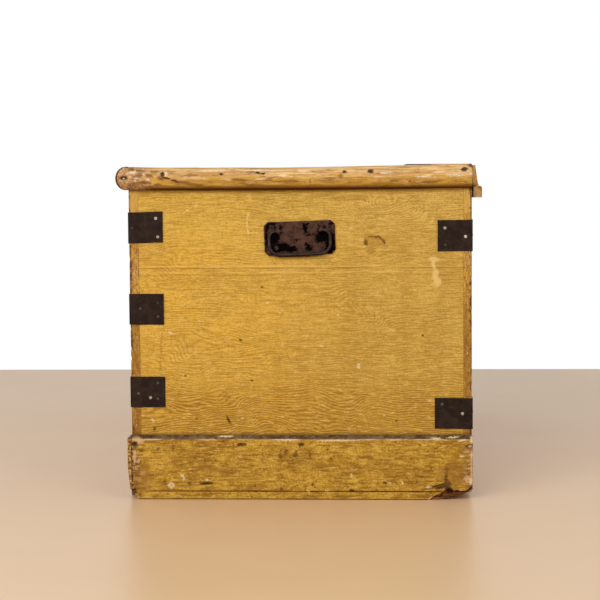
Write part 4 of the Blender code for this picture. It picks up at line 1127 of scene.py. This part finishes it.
# Marks on the moulding over the end, given as those on the end
MOULDING_MARKS = (
    (
        (
            (123.5, 178.1, 3.6, 1.9, 4), (162.2, 174.2, 1.8, 2), (221, 174.2, 2.2, 0.9),
            (257.5, 172.8, 2.6, 0.9, -14), (263, 173.6, 2, 0.9), (344.5, 171.7, 2, 1.3),
            (370.6, 171.3, 2.8, 1.8), (464.5, 169.2, 3.2, 1.8, 10), (125.8, 167.2, 1.2, 1),
            (166, 178, 4, 0.9, -14), (175, 181.2, 4, 0.9, -18),
        ),
        DEEP,
        0.92,
    ),
    (
        (
            (181, 182, 9, 1.5, -6), (194, 184.5, 10, 1.5, -6), (160, 178, 3, 2.4),
            (143, 174.5, 8, 1.6, -6), (139, 183, 7, 1.5), (154.5, 172, 4.5, 1.5),
            (394.5, 180.8, 4.5, 1.3), (409.5, 181.5, 1.6, 1.2), (310, 181, 1, 2), (340.5, 176, 2.4, 2),
            (240, 180, 9, 1.4, -4), (286, 181, 12, 1.3, 2), (430, 182, 9, 1.5, 2),
        ),
        (0.2, 0.085, 0.02),
        0.7,
    ),
    (
        (
            # Pale rubbed spots, and painted highlights: the dots at the two nails and the thin streaks along
            # the upper face.
            (123.5, 178.6, 0.9, 0.8), (165.6, 174.2, 1.6, 2.2), (136.2, 178.2, 1.5, 1.6),
            (135, 181, 1.2, 1), (148, 179.5, 1.6, 1.3), (132.5, 172.6, 4, 1), (143.5, 174.4, 1.4, 1),
            (283, 175, 3.5, 1), (471.5, 173.5, 1.4, 1.6), (424, 176.5, 7, 1, 8), (438.5, 172, 7, 0.9, 6),
            (455, 175, 9, 1.2), (303, 171, 6, 0.9), (260, 170.5, 14, 0.7), (212, 171, 12, 0.8),
            (386, 172.5, 8, 1),
        ),
        (0.86, 0.69, 0.5),
        0.75,
    ),
    (
        (
            (130.5, 169.5, 3, 1.8), (140, 171, 5.5, 1.2, -4), (137, 176.5, 5, 1.4), (131, 185, 4.5, 1.8),
            (146, 182.6, 5, 1.5, -6), (150, 176.6, 4, 1.2), (157, 184.5, 4, 1.3),
            (162.5, 178.4, 2.6, 1.6),
        ),
        (0.17, 0.07, 0.03),
        0.72,
    ),
    (
        ((471.6, 164.8, 3.2, 2.2, 24),),
        (0.07, 0.024, 0.008),
        0.88,
    ),
)
# Dents in the moulding: x and y in the photograph, radius and depth in metres
MOULDING_PITS = (
    (123.5, 178.1, 0.0044, 0.0018), (162.2, 174.2, 0.0024, 0.0024), (221, 174.2, 0.0022, 0.001),
    (257.5, 172.8, 0.0028, 0.0012), (344.5, 171.7, 0.0022, 0.001), (370.6, 171.3, 0.003, 0.0018),
    (464.5, 169.2, 0.0036, 0.0024),
)
# How much higher or lower than drawn the moulding's top runs: the photograph's x, and metres
TOP_WEAR = (
    (118, 0), (130, -0.0004), (150, -0.0014), (180, -0.0024), (240, -0.0024), (270, -0.0032),
    (300, -0.0026), (330, -0.0023), (360, -0.0017), (400, -0.0009), (430, -0.0004), (434, 0.0004),
    (465, 0.0006),
)
TOP_WEAR_ROW = 170  # the photograph's y at all of these
# The same for the left moulding, by its Y in metres
FAR_WEAR_AT = (-0.262, -0.244, 0.14, 0.2)
FAR_WEAR = (-0.0006, -0.003, -0.003, 0)


def moulding_section():
    """Half-round with a slightly flattened face, drawn out from its seat."""
    half = MOULDING_HEIGHT / 2
    root = 0.0011
    points = [(0, MOULDING_FOOT + 0.0006), (0, MOULDING_FOOT + MOULDING_HEIGHT - 0.0006)]
    steps = 30
    for i in range(steps + 1):
        a = math.pi / 2 - math.pi * i / steps
        out = max(math.cos(a), 0) ** 0.92
        points.append((root + (MOULDING_OUT - root) * out, MOULDING_MIDDLE + half * math.sin(a)))
    return np.array(points)


def worn_mouldings():
    right_wood = moulding_wood("right_moulding_wood", "y", MOULDING_MARKS)
    left_wood = moulding_wood("left_moulding_wood", "y")
    front_wood = moulding_wood("front_moulding_wood", "x")
    section = moulding_section()
    face_x = LID_END_X + MOULDING_OUT
    pits = [(*at(px, py, face_x), radius, depth) for px, py, radius, depth in MOULDING_PITS]
    wear_at = [at(px, TOP_WEAR_ROW, face_x)[0] for px, rise in TOP_WEAR]
    wear = {1: (wear_at, [rise for px, rise in TOP_WEAR]), -1: (FAR_WEAR_AT, FAR_WEAR)}
    half = MOULDING_HEIGHT / 2
    corner_reach, corner_wear = 0.005, 0.0022
    for end, side, wood, spacing, seed in (
        ("right", 1, right_wood, 0.0018, 3),
        ("left", -1, left_wood, 0.004, 11),
    ):

        def place(points, t, side=side, seed=seed, pits=pits if side > 0 else ()):
            out, up = points[:, 0].copy(), points[:, 1].copy()
            start = LID_FRONT_Y - out + 0.0002
            y = start + (BACK_Y - start) * t
            spread = np.stack([np.full_like(y, side * END_X), y, up], axis=1)
            share = out / MOULDING_OUT
            low_share = np.clip((MOULDING_MIDDLE - up) / half, 0, 1)
            high_share = np.clip((up - MOULDING_MIDDLE) / half, 0, 1)
            along = np.clip((y - LID_FRONT_Y) / (BACK_Y - LID_FRONT_Y), 0, 1)
            up = up - (0.0007 + 0.0016 * np.sin(math.pi * along)) * low_share
            up = up + np.interp(y, *wear[side]) * high_share
            bumps = 0.0005 * rough_field(spread, 30.0, seed) + 0.0003 * rough_field(spread, 120.0, seed + 1)
            out = out - share * (np.clip(bumps, -0.0004, 0.001) + 0.0004)
            for pit_y, pit_z, radius, depth in pits:
                near = np.hypot(y - pit_y, up - pit_z) / radius
                out = out - share * depth * np.exp(-(near**4))
            corner = np.clip((y - BACK_Y + corner_reach) / corner_reach, 0, 1)
            out = out - corner_wear * share * corner**2
            up = up - corner_wear * corner**2 * np.clip((up - MOULDING_MIDDLE) / 0.012, 0, 1)
            return np.stack([side * (LID_END_X + out), y, np.maximum(up, MOULDING_FOOT - 0.0024)], axis=1)

        stations = (divided(LID_FRONT_Y, BACK_Y, spacing) - LID_FRONT_Y) / (BACK_Y - LID_FRONT_Y)
        sweep_moulding(f"lid_{end}_moulding", section, stations, place, wood)

    def front_place(points, t):
        out, up = points[:, 0].copy(), points[:, 1].copy()
        x = (2 * t - 1) * (LID_END_X + out - 0.0002)
        spread = np.stack([x, np.full_like(x, FRONT_Y), up], axis=1)
        share = out / MOULDING_OUT
        bumps = 0.00045 * rough_field(spread, 30.0, 21.0) + 0.00025 * rough_field(spread, 120.0, 22.0)
        out = out - share * (np.clip(bumps, -0.0004, 0.001) + 0.0004)
        high_share = np.clip((up - MOULDING_MIDDLE) / half, 0, 1)
        up = up - 0.0019 * high_share * np.clip((LID_END_X - x) / 0.05, 0, 1)
        return np.stack([x, LID_FRONT_Y - out, up], axis=1)

    stations = (divided(-LID_END_X, LID_END_X, 0.0045) + LID_END_X) / (2 * LID_END_X)
    sweep_moulding("lid_front_moulding", section, stations, front_place, front_wood)


def end_grain(name, light, dark, gap_shadow_y=None):
    """A sawn end that was painted once: patchy ochre over grey-brown wood, and, if given, painted shadow of
    the gap by the wall.
    """
    s = Surface(name)
    y = s.axes()[1]
    cloud = s.noise((20.0, 130.0, 110.0), 4.0, 0.65)
    fine = s.noise((40.0, 620.0, 300.0), 3.0)
    s.colour = s.blend(s.ramp(cloud, 0.42, 0.6), light, dark)
    s.lay(s.ramp(fine, 0.48, 0.7, 0.0, 0.5), dark)
    if gap_shadow_y is not None:
        # Painted shadow of the gap next to the wall, near black.
        ragged = s.plus(y, s.centred(cloud, 0.003))
        s.lay(s.ramp(ragged, gap_shadow_y + 0.003, gap_shadow_y + 0.0016), (0.006, 0.003, 0.002))
    return s.finish(0.7, s.plus(fine, cloud), 0.0005)


def strip_and_rail():
    """The lid's back strip and the batten that carries the hinges, with their end grain."""
    paint = combed_paint("strip_paint", "x", "z")
    strip_end = end_grain("strip_end_grain", (0.62, 0.4, 0.16), (0.33, 0.17, 0.045))
    rail_end = end_grain("rail_end_grain", (0.47, 0.3, 0.13), (0.26, 0.13, 0.04), BACK_Y)
    for node, body, wood in (("lid_back_strip", "lid", strip_end), ("back_rail", "carcase", rail_end)):
        softened(node, (paint, wood), body, "painted_pine", 0.0009, lambda normal: int(abs(normal.x) > 0.9))


# Iron


def cells(rows, cols):
    """The corners of each cell of a grid."""
    for i in range(rows - 1):
        for a in range(i * cols, (i + 1) * cols - 1):
            yield a, a + 1, a + cols + 1, a + cols


def rim_sides(rows, cols):
    """The sides of a grid's rim, in order, as pairs of points."""
    last = (rows - 1) * cols
    rim = [*range(cols), *range(2 * cols - 1, last + cols, cols)]
    rim += [*range(last + cols - 2, last - 1, -1), *range(last - cols, 0, -cols)]
    return zip(rim, rim[1:] + rim[:1])


def slab(grid, normals, thickness):
    """A closed sheet: a grid of points, and the same grid set out along its normals."""
    rows, cols = grid.shape[:2]
    verts = np.concatenate([grid.reshape(-1, 3), (grid + normals * thickness).reshape(-1, 3)])
    faces = []
    back = rows * cols
    for a, b, c, d in cells(rows, cols):
        faces += [(a, b, c, d), (back + d, back + c, back + b, back + a)]
    faces += [(b, a, back + a, back + b) for a, b in rim_sides(rows, cols)]
    return verts, faces


def merge(parts):
    """Several (verts, faces, slots) meshes in one."""
    verts, faces, slots, start = [], [], [], 0
    for part_verts, part_faces, part_slots in parts:
        verts.append(np.asarray(part_verts))
        faces += [tuple(start + i for i in face) for face in part_faces]
        slots += part_slots
        start += len(part_verts)
    return np.concatenate(verts), faces, slots


def head(centre, normal, radius, height, slot=0, turn=0, cut_depth=0, cut_slot=0):
    """A round nail or screw head: a low dome, with a cut across it if it has a depth."""
    steps = [-1, -0.85, -0.6, -0.34, -0.17, -0.12, 0.12, 0.17, 0.34, 0.6, 0.85, 1]
    rise = Vector(normal).normalized()
    across = rise.orthogonal().normalized()
    across.rotate(Matrix.Rotation(turn, 3, rise))
    other = rise.cross(across)
    top, foot = [], []
    for a in steps:
        for b in steps:
            x, y = a * math.sqrt(1 - b * b / 2), b * math.sqrt(1 - a * a / 2)
            far = min(1.0, math.hypot(x, y))
            up = height * (0.25 + 0.75 * math.sqrt(max(0.0, 1 - far**2.4)))
            if cut_depth and abs(a) < 0.13 and far < 0.97:
                up -= cut_depth
            flat = Vector(centre) + (across * x + other * y) * radius
            top.append(flat + rise * up)
            foot.append(flat - rise * 0.0002)
    grid = len(steps)
    verts = np.array([tuple(p) for p in foot + top])
    faces, slots = [], []
    back = grid * grid
    for a, b, c, d in cells(grid, grid):
        faces += [(d, c, b, a), (back + a, back + b, back + c, back + d)]
        across_middle = abs(steps[a // grid] + steps[a // grid + 1]) < 0.01
        slots += [slot, cut_slot if cut_depth and across_middle else slot]
    faces += [(a, b, back + b, back + a) for a, b in rim_sides(grid, grid)]
    return verts, faces, slots + [slot] * (len(faces) - len(slots))


STRAP_LEG, STRAP_HEIGHT, STRAP_SHEET = 0.05, 0.045, 0.0011
# Finishes of the nails, and their sizes
BRIGHT, DULL = 0, 1
NAIL_RADII, NAIL_HEIGHT = (0.0023, 0.0021), 0.0008
# Nails that the photograph doesn't show, by distance from the corner and from the strap's middle line
END_NAILS = ((0.04, 0.013), (0.008, 0.001), (0.04, -0.013))
SIDE_NAILS = ((0.038, 0.012), (0.01, 0.0), (0.038, -0.013))
NAIL_STRAY = 0.002
# Each strap of this end: its tilt, its leg, and its nails as x, y in the photograph and their finish
SHOWN_STRAPS = {
    "front_right_upper": (1.2, 0.05, ((155.6, 218.4, BRIGHT), (132.3, 228, DULL), (157.7, 237, BRIGHT))),
    "front_right_middle": (0, 0.05, ((140.2, 308.7, DULL), (158, 303, DULL), (158.3, 316.5, DULL))),
    "front_right_lower": (
        0.2,
        0.0505,
        ((158, 382.7, DULL), (138.6, 393.7, DULL), (150.5, 397.7, BRIGHT), (158, 399, DULL)),
    ),
    "back_right_upper": (0.4, 0.0495, ((445, 228, BRIGHT), (465.6, 236.5, BRIGHT), (445.4, 245.2, DULL))),
    "back_right_lower": (-1, 0.054, ((442, 404.3, DULL), (462.5, 413.8, BRIGHT))),
}


def strap_path(reach):
    """How far along the end face and the long face, and which way is out, by distance past the corner."""
    inner = 0.0006
    if reach > inner:
        return (0.0, reach), (1.0, 0.0)
    if reach < -inner:
        return (reach, 0.0), (0.0, -1.0)
    a = (inner - reach) / (2 * inner) * math.pi / 2
    return (-inner + inner * math.cos(a), inner - inner * math.sin(a)), (math.cos(a), -math.sin(a))


def strap_sheet(name, leg, tilt):
    """A strap bent round its corner, cut a little unevenly and not quite level."""
    middle = (low(name) + high(name)) / 2
    end_side = 1 if middle.x > 0 else -1
    wall_side = 1 if middle.y > 0 else -1
    corner_x = end_side * (END_X + GAP)
    corner_y = BACK_Y + GAP if wall_side > 0 else FRONT_Y - GAP
    turn = 0.0006
    ends = [-(2 * STRAP_LEG - leg) + turn, leg - turn, -turn, -turn / 2, 0.0, turn / 2, turn]
    reaches = sorted({*np.linspace(-(2 * STRAP_LEG - leg), leg, 29), *ends})
    grid, normals = [], []
    for reach in reaches:
        (along_x, along_y), (out_x, out_y) = strap_path(reach)
        x, y = corner_x + end_side * along_x, corner_y - wall_side * along_y
        row, row_normals = [], []
        for up in np.linspace(-STRAP_HEIGHT / 2, STRAP_HEIGHT / 2, 15):
            edge = 0.00035 * noise.noise(Vector((reach * 90, up * 90, middle.z * 9)))
            rise = -wall_side * math.tan(tilt) * max(reach, -0.012)
            row.append((x, y, middle.z + up + rise + edge))
            row_normals.append((end_side * out_x, -wall_side * out_y, 0))
        grid.append(row)
        normals.append(row_normals)
    verts, faces = slab(np.array(grid), np.array(normals), STRAP_SHEET - 0.0001)
    return verts, faces, (corner_x, corner_y, middle.z, end_side, wall_side)


def corner_straps():
    dark, light = (0.0155, 0.0086, 0.0064), (0.033, 0.0195, 0.0145)
    iron = old_iron("strap_iron_worn", dark, light, (0.085, 0.036, 0.016), 0.3)
    bright = old_iron("nail_bright", (0.28, 0.24, 0.18), (0.56, 0.5, 0.39), (0.16, 0.09, 0.04), 0.3)
    dull = old_iron("nail_dull", (0.04, 0.028, 0.022), (0.13, 0.1, 0.08), (0.11, 0.06, 0.03), 0.3)
    for name in [n for n in NODES if n.endswith("_strap")]:
        rng = seeded(name)
        unseen = (rng.uniform(-1.2, 1.2), STRAP_LEG, ())
        tilt, leg, nails = SHOWN_STRAPS.get(name.removesuffix("_strap"), unseen)
        verts, faces, corner = strap_sheet(name, leg, math.radians(tilt))
        corner_x, corner_y, z0, end_side, wall_side = corner
        add_piece(f"worn_{name}", verts, faces, (iron,), "carcase", "strap_iron", node=name)
        face_x = corner_x + end_side * (STRAP_SHEET - 0.0002)
        face_y = corner_y + wall_side * (STRAP_SHEET - 0.0002)
        placed = [(*at(px, py, END_X + 0.0018), finish) for px, py, finish in nails]
        if not nails:
            for reach, up in END_NAILS:
                y = corner_y - wall_side * (reach + rng.uniform(-NAIL_STRAY, NAIL_STRAY))
                placed.append((y, z0 + up + rng.uniform(-NAIL_STRAY, NAIL_STRAY), rng.choice((BRIGHT, DULL))))
        heads = []
        for y, z, finish in placed:
            heads.append(head((face_x, y, z), (end_side, 0, 0), NAIL_RADII[finish], NAIL_HEIGHT, finish))
        for reach, up in SIDE_NAILS:
            x = corner_x - end_side * (reach + rng.uniform(-NAIL_STRAY, NAIL_STRAY))
            z = z0 + up + rng.uniform(-NAIL_STRAY, NAIL_STRAY)
            finish = rng.choice((BRIGHT, DULL, DULL))
            heads.append(head((x, face_y, z), (0, wall_side, 0), NAIL_RADII[DULL], NAIL_HEIGHT, finish))
        verts, faces, slots = merge(heads)
        add_piece(f"{name}_nails", verts, faces, (bright, dull), "carcase", "strap_iron", slots)


# Black japanning that is left on the handle plate, with painted shadow beside the loops and under the bail,
# in the photograph's pixels
JAPAN_AND_SHADOW_MARKS = (
    (266.3, 238, 1.6, 14), (273.5, 238.5, 6.5, 7.5, -30), (280, 247.8, 9.5, 4.8, 12),
    # Among these, the four narrow marks beside the loops and the long thin one under the bail are painted
    # shadow.
    (290.5, 249, 7, 3.4), (274.8, 227.5, 0.9, 3.4), (280.8, 227.5, 0.9, 3.4), (318.8, 227, 0.9, 3.4),
    (324.4, 227, 0.9, 3.4), (296.3, 240.3, 1.8, 1.6), (299.5, 238.8, 1, 0.8), (306.2, 244.5, 1.5, 1.8),
    (308.5, 247.8, 3.4, 3.8, 20), (305, 228, 2.6, 5.5, 10), (308, 223.8, 2, 1.2), (309, 234.8, 2.6, 1.5),
    (313, 233.6, 2, 1), (322.5, 236.5, 8.5, 6, 32), (328.5, 243, 3.4, 6.5), (332.8, 242, 2.6, 10),
    (329, 250, 4.5, 3, -30), (300, 255.3, 34, 1.2, -1.5), (331.5, 223, 3.5, 2, 30),
    (267.5, 226, 3, 3.5, 30), (272, 223.5, 5, 1.5, -5),
)
# The plate's screws: x and y in the photograph, and how far each is turned
HANDLE_SCREWS = ((271, 227.5, 0.6), (329.5, 226.5, 1.9), (276.5, 248, 1.1), (321, 245.5, 2.6))
HANDLE_SCREW_RADIUS, HANDLE_SCREW_HEIGHT, HANDLE_SCREW_CUT = 0.003, 0.0006, 0.0004
# The bail, as it is bent
WIRE_RADIUS = 0.0023
BAIL_HALF_WIDTH, BAIL_DROP, BAIL_STUB = 0.04425, 0.0342, 0.0251
TOP_CORNER, FOOT_CORNER = 0.01, 0.015


def bail_line():
    """The bail's middle line, as (out from its middle, down from its pivots): a half and its mirror."""
    line = [(BAIL_STUB, 0), (BAIL_STUB + 0.0005, 0), (BAIL_STUB + 0.004, 0)]
    for i in range(9):
        a = math.pi / 2 * i / 8
        line.append((BAIL_HALF_WIDTH - TOP_CORNER * (1 - math.sin(a)), TOP_CORNER * (1 - math.cos(a))))
    for i in range(13):
        a = math.pi / 2 * i / 12
        out = BAIL_HALF_WIDTH - FOOT_CORNER * (1 - math.cos(a))
        line.append((out, BAIL_DROP - FOOT_CORNER * (1 - math.sin(a))))
    line += [(BAIL_HALF_WIDTH - FOOT_CORNER - 0.004 * i, BAIL_DROP) for i in range(1, 7)]
    return line + [(-out, drop) for out, drop in line[::-1]]


def bail(end, side, tilt, finish):
    """The drop handle: a wire of slightly uneven thickness on its pivots, hanging against the plate."""
    pivot = Vector(PIVOTS[f"{end}_handle_swing"]["pos_m"])
    along = Vector((0, math.cos(tilt), math.sin(tilt)))
    down = Vector((0, math.sin(tilt), -math.cos(tilt)))
    out = Vector((side, 0, 0))
    line = [pivot + along * u + down * v for u, v in bail_line()]
    verts = []
    count = 14
    for i, point in enumerate(line):
        ahead = (line[min(i + 1, len(line) - 1)] - line[max(i - 1, 0)]).normalized()
        across = out.cross(ahead).normalized()
        size = WIRE_RADIUS * (1 + 0.05 * noise.noise(point * 60) - 0.03)
        if i in (0, len(line) - 1):
            size *= 0.72
        for j in range(count):
            a = 2 * math.pi * j / count
            verts.append(tuple(point + (out * math.cos(a) + across * math.sin(a)) * size))
    faces = tube_faces(len(line), count)
    faces.append(tuple(range(count)))
    faces.append(tuple(range(len(verts) - count, len(verts)))[::-1])
    node = f"{end}_handle_bail"
    add_piece(f"worn_{node}", verts, faces, (finish,), f"{end}_bail", "handle_iron", node=node)


def dress_handles():
    plate_iron = japanned_iron(JAPAN_AND_SHADOW_MARKS)
    dark, light, rust = (0.022, 0.013, 0.01), (0.05, 0.031, 0.025), (0.17, 0.11, 0.08)
    wire = old_iron("bail_iron", dark, light, rust, 0.4, (0.36, 0.56), 0.15, shaded_underside=True)
    dark, light, rust = (0.024, 0.012, 0.009), (0.07, 0.04, 0.03), (0.15, 0.08, 0.045)
    screw_iron = old_iron("handle_screw_iron", dark, light, rust, 0.4)
    # Near-black painted shade in the screws' shallow slits.
    slit = old_iron("screw_slit", (0.004, 0.003, 0.002), (0.01, 0.006, 0.004), (0.03, 0.014, 0.007), 0.3)
    screws = []
    for end, side in (("right", 1), ("left", -1)):
        softened(f"{end}_handle_plate", (plate_iron,), "carcase", "handle_iron", 0.00035)
        bail(end, side, math.radians(1.8) if side > 0 else 0, wire)
        for px, py, turn in HANDLE_SCREWS:
            y, z = at(px, py, PLATE_FACE_X)
            centre = (side * PLATE_FACE_X, y, z)
            size = (HANDLE_SCREW_RADIUS, HANDLE_SCREW_HEIGHT)
            screws.append(head(centre, (side, 0, 0), *size, 0, turn, HANDLE_SCREW_CUT, 1))
    verts, faces, slots = merge(screws)
    add_piece("handle_screws", verts, faces, (screw_iron, slit), "carcase", "handle_iron", slots)
    return slit


# Screws of the hinges' upper leaves, by distance from the leaf's end and from its middle line
LEAF_SCREWS = ((0.014, 0.0), (0.036, 0.01), (0.036, -0.01), (0.06, 0.0))
# Screws of the lower leaves, by distance from the middle line and turn, and their height above the foot
RAIL_SCREWS = ((-0.011, 0.5), (0.011, 1.7))
RAIL_SCREW_UP = 0.0068
LEAF_SCREW_RADIUS, RAIL_SCREW_RADIUS = 0.0034, 0.0032


def dress_hinges_and_lock(slit):
    dark, light, rust = (0.018, 0.011, 0.008), (0.05, 0.032, 0.024), (0.13, 0.056, 0.02)
    hinge_iron = old_iron("hinge_iron_worn", dark, light, rust, 0.5)
    rust = (0.15, 0.07, 0.03)
    lock_iron = old_iron("lock_iron_worn", (0.04, 0.03, 0.024), (0.11, 0.088, 0.07), rust, 0.5)
    screw_iron = old_iron("hinge_screw_iron", (0.036, 0.024, 0.018), (0.11, 0.08, 0.06), rust, 0.5)
    for node in NODES:
        if "hinge" in node:
            body = "lid" if "upper" in node else "carcase"
            softened(node, (hinge_iron,), body, "hinge_iron", 0.0003)
        elif node in ("lock_plate", "lock_cover", "lock_link_plate", "lock_bolt"):
            body = {"lock_link_plate": "lid", "lock_bolt": "bolt"}.get(node, "carcase")
            softened(node, (lock_iron,), body, "lock_iron", 0.0003)
    upper, lower = [], []
    rise, cut = 0.0001, 0.00004
    for end in ("right", "left"):
        start, top = low(f"{end}_hinge_upper_leaf"), high(f"{end}_hinge_upper_leaf")
        middle = (start.x + top.x) / 2
        for reach, aside in LEAF_SCREWS:
            centre = (middle + aside, start.y + reach, top.z - rise)
            turn = reach * 40 + aside * 90
            upper.append(head(centre, (0, 0, 1), LEAF_SCREW_RADIUS, rise, 0, turn, cut, 1))
        foot, back = low(f"{end}_hinge_lower_leaf").z, high(f"{end}_hinge_lower_leaf").y
        for aside, turn in RAIL_SCREWS:
            centre = (middle + aside, back - rise, foot + RAIL_SCREW_UP)
            lower.append(head(centre, (0, 1, 0), RAIL_SCREW_RADIUS, rise, 0, turn, cut, 1))
    for name, heads, body in (("hinge_screws", upper, "lid"), ("rail_screws", lower, "carcase")):
        verts, faces, slots = merge(heads)
        add_piece(name, verts, faces, (screw_iron, slit), body, "hinge_iron", slots)


def base_boards():
    bare = bare_wood("base_pine", "x", "y")
    for place in ("front", "middle", "back"):
        softened(f"base_{place}_board", (bare,), "carcase", "bare_pine", 0.0005)


# Scene

FLOOR_CORNERS = ((-1.17, -4.0), (9.0, 4.0))
LAMP_TARGET = (0.45, 0, 0.25)

make_world()
stage_plane("floor", *FLOOR_CORNERS, floor_finish())
lamp("key_light", (3.0, -1.3, 1.85), LAMP_TARGET, (2.2, 1.5), 56, (1.0, 0.985, 0.96))
lamp("fill_light", (2.6, 2.2, 1.6), LAMP_TARGET, (2.0, 1.6), 21, (1.0, 1.0, 1.0))
wall_boards()
worn_plinths()
lid_boards()
worn_mouldings()
strip_and_rail()
corner_straps()
dress_hinges_and_lock(dress_handles())
base_boards()

view = bpy.context.scene.view_settings
view.view_transform = "Standard"
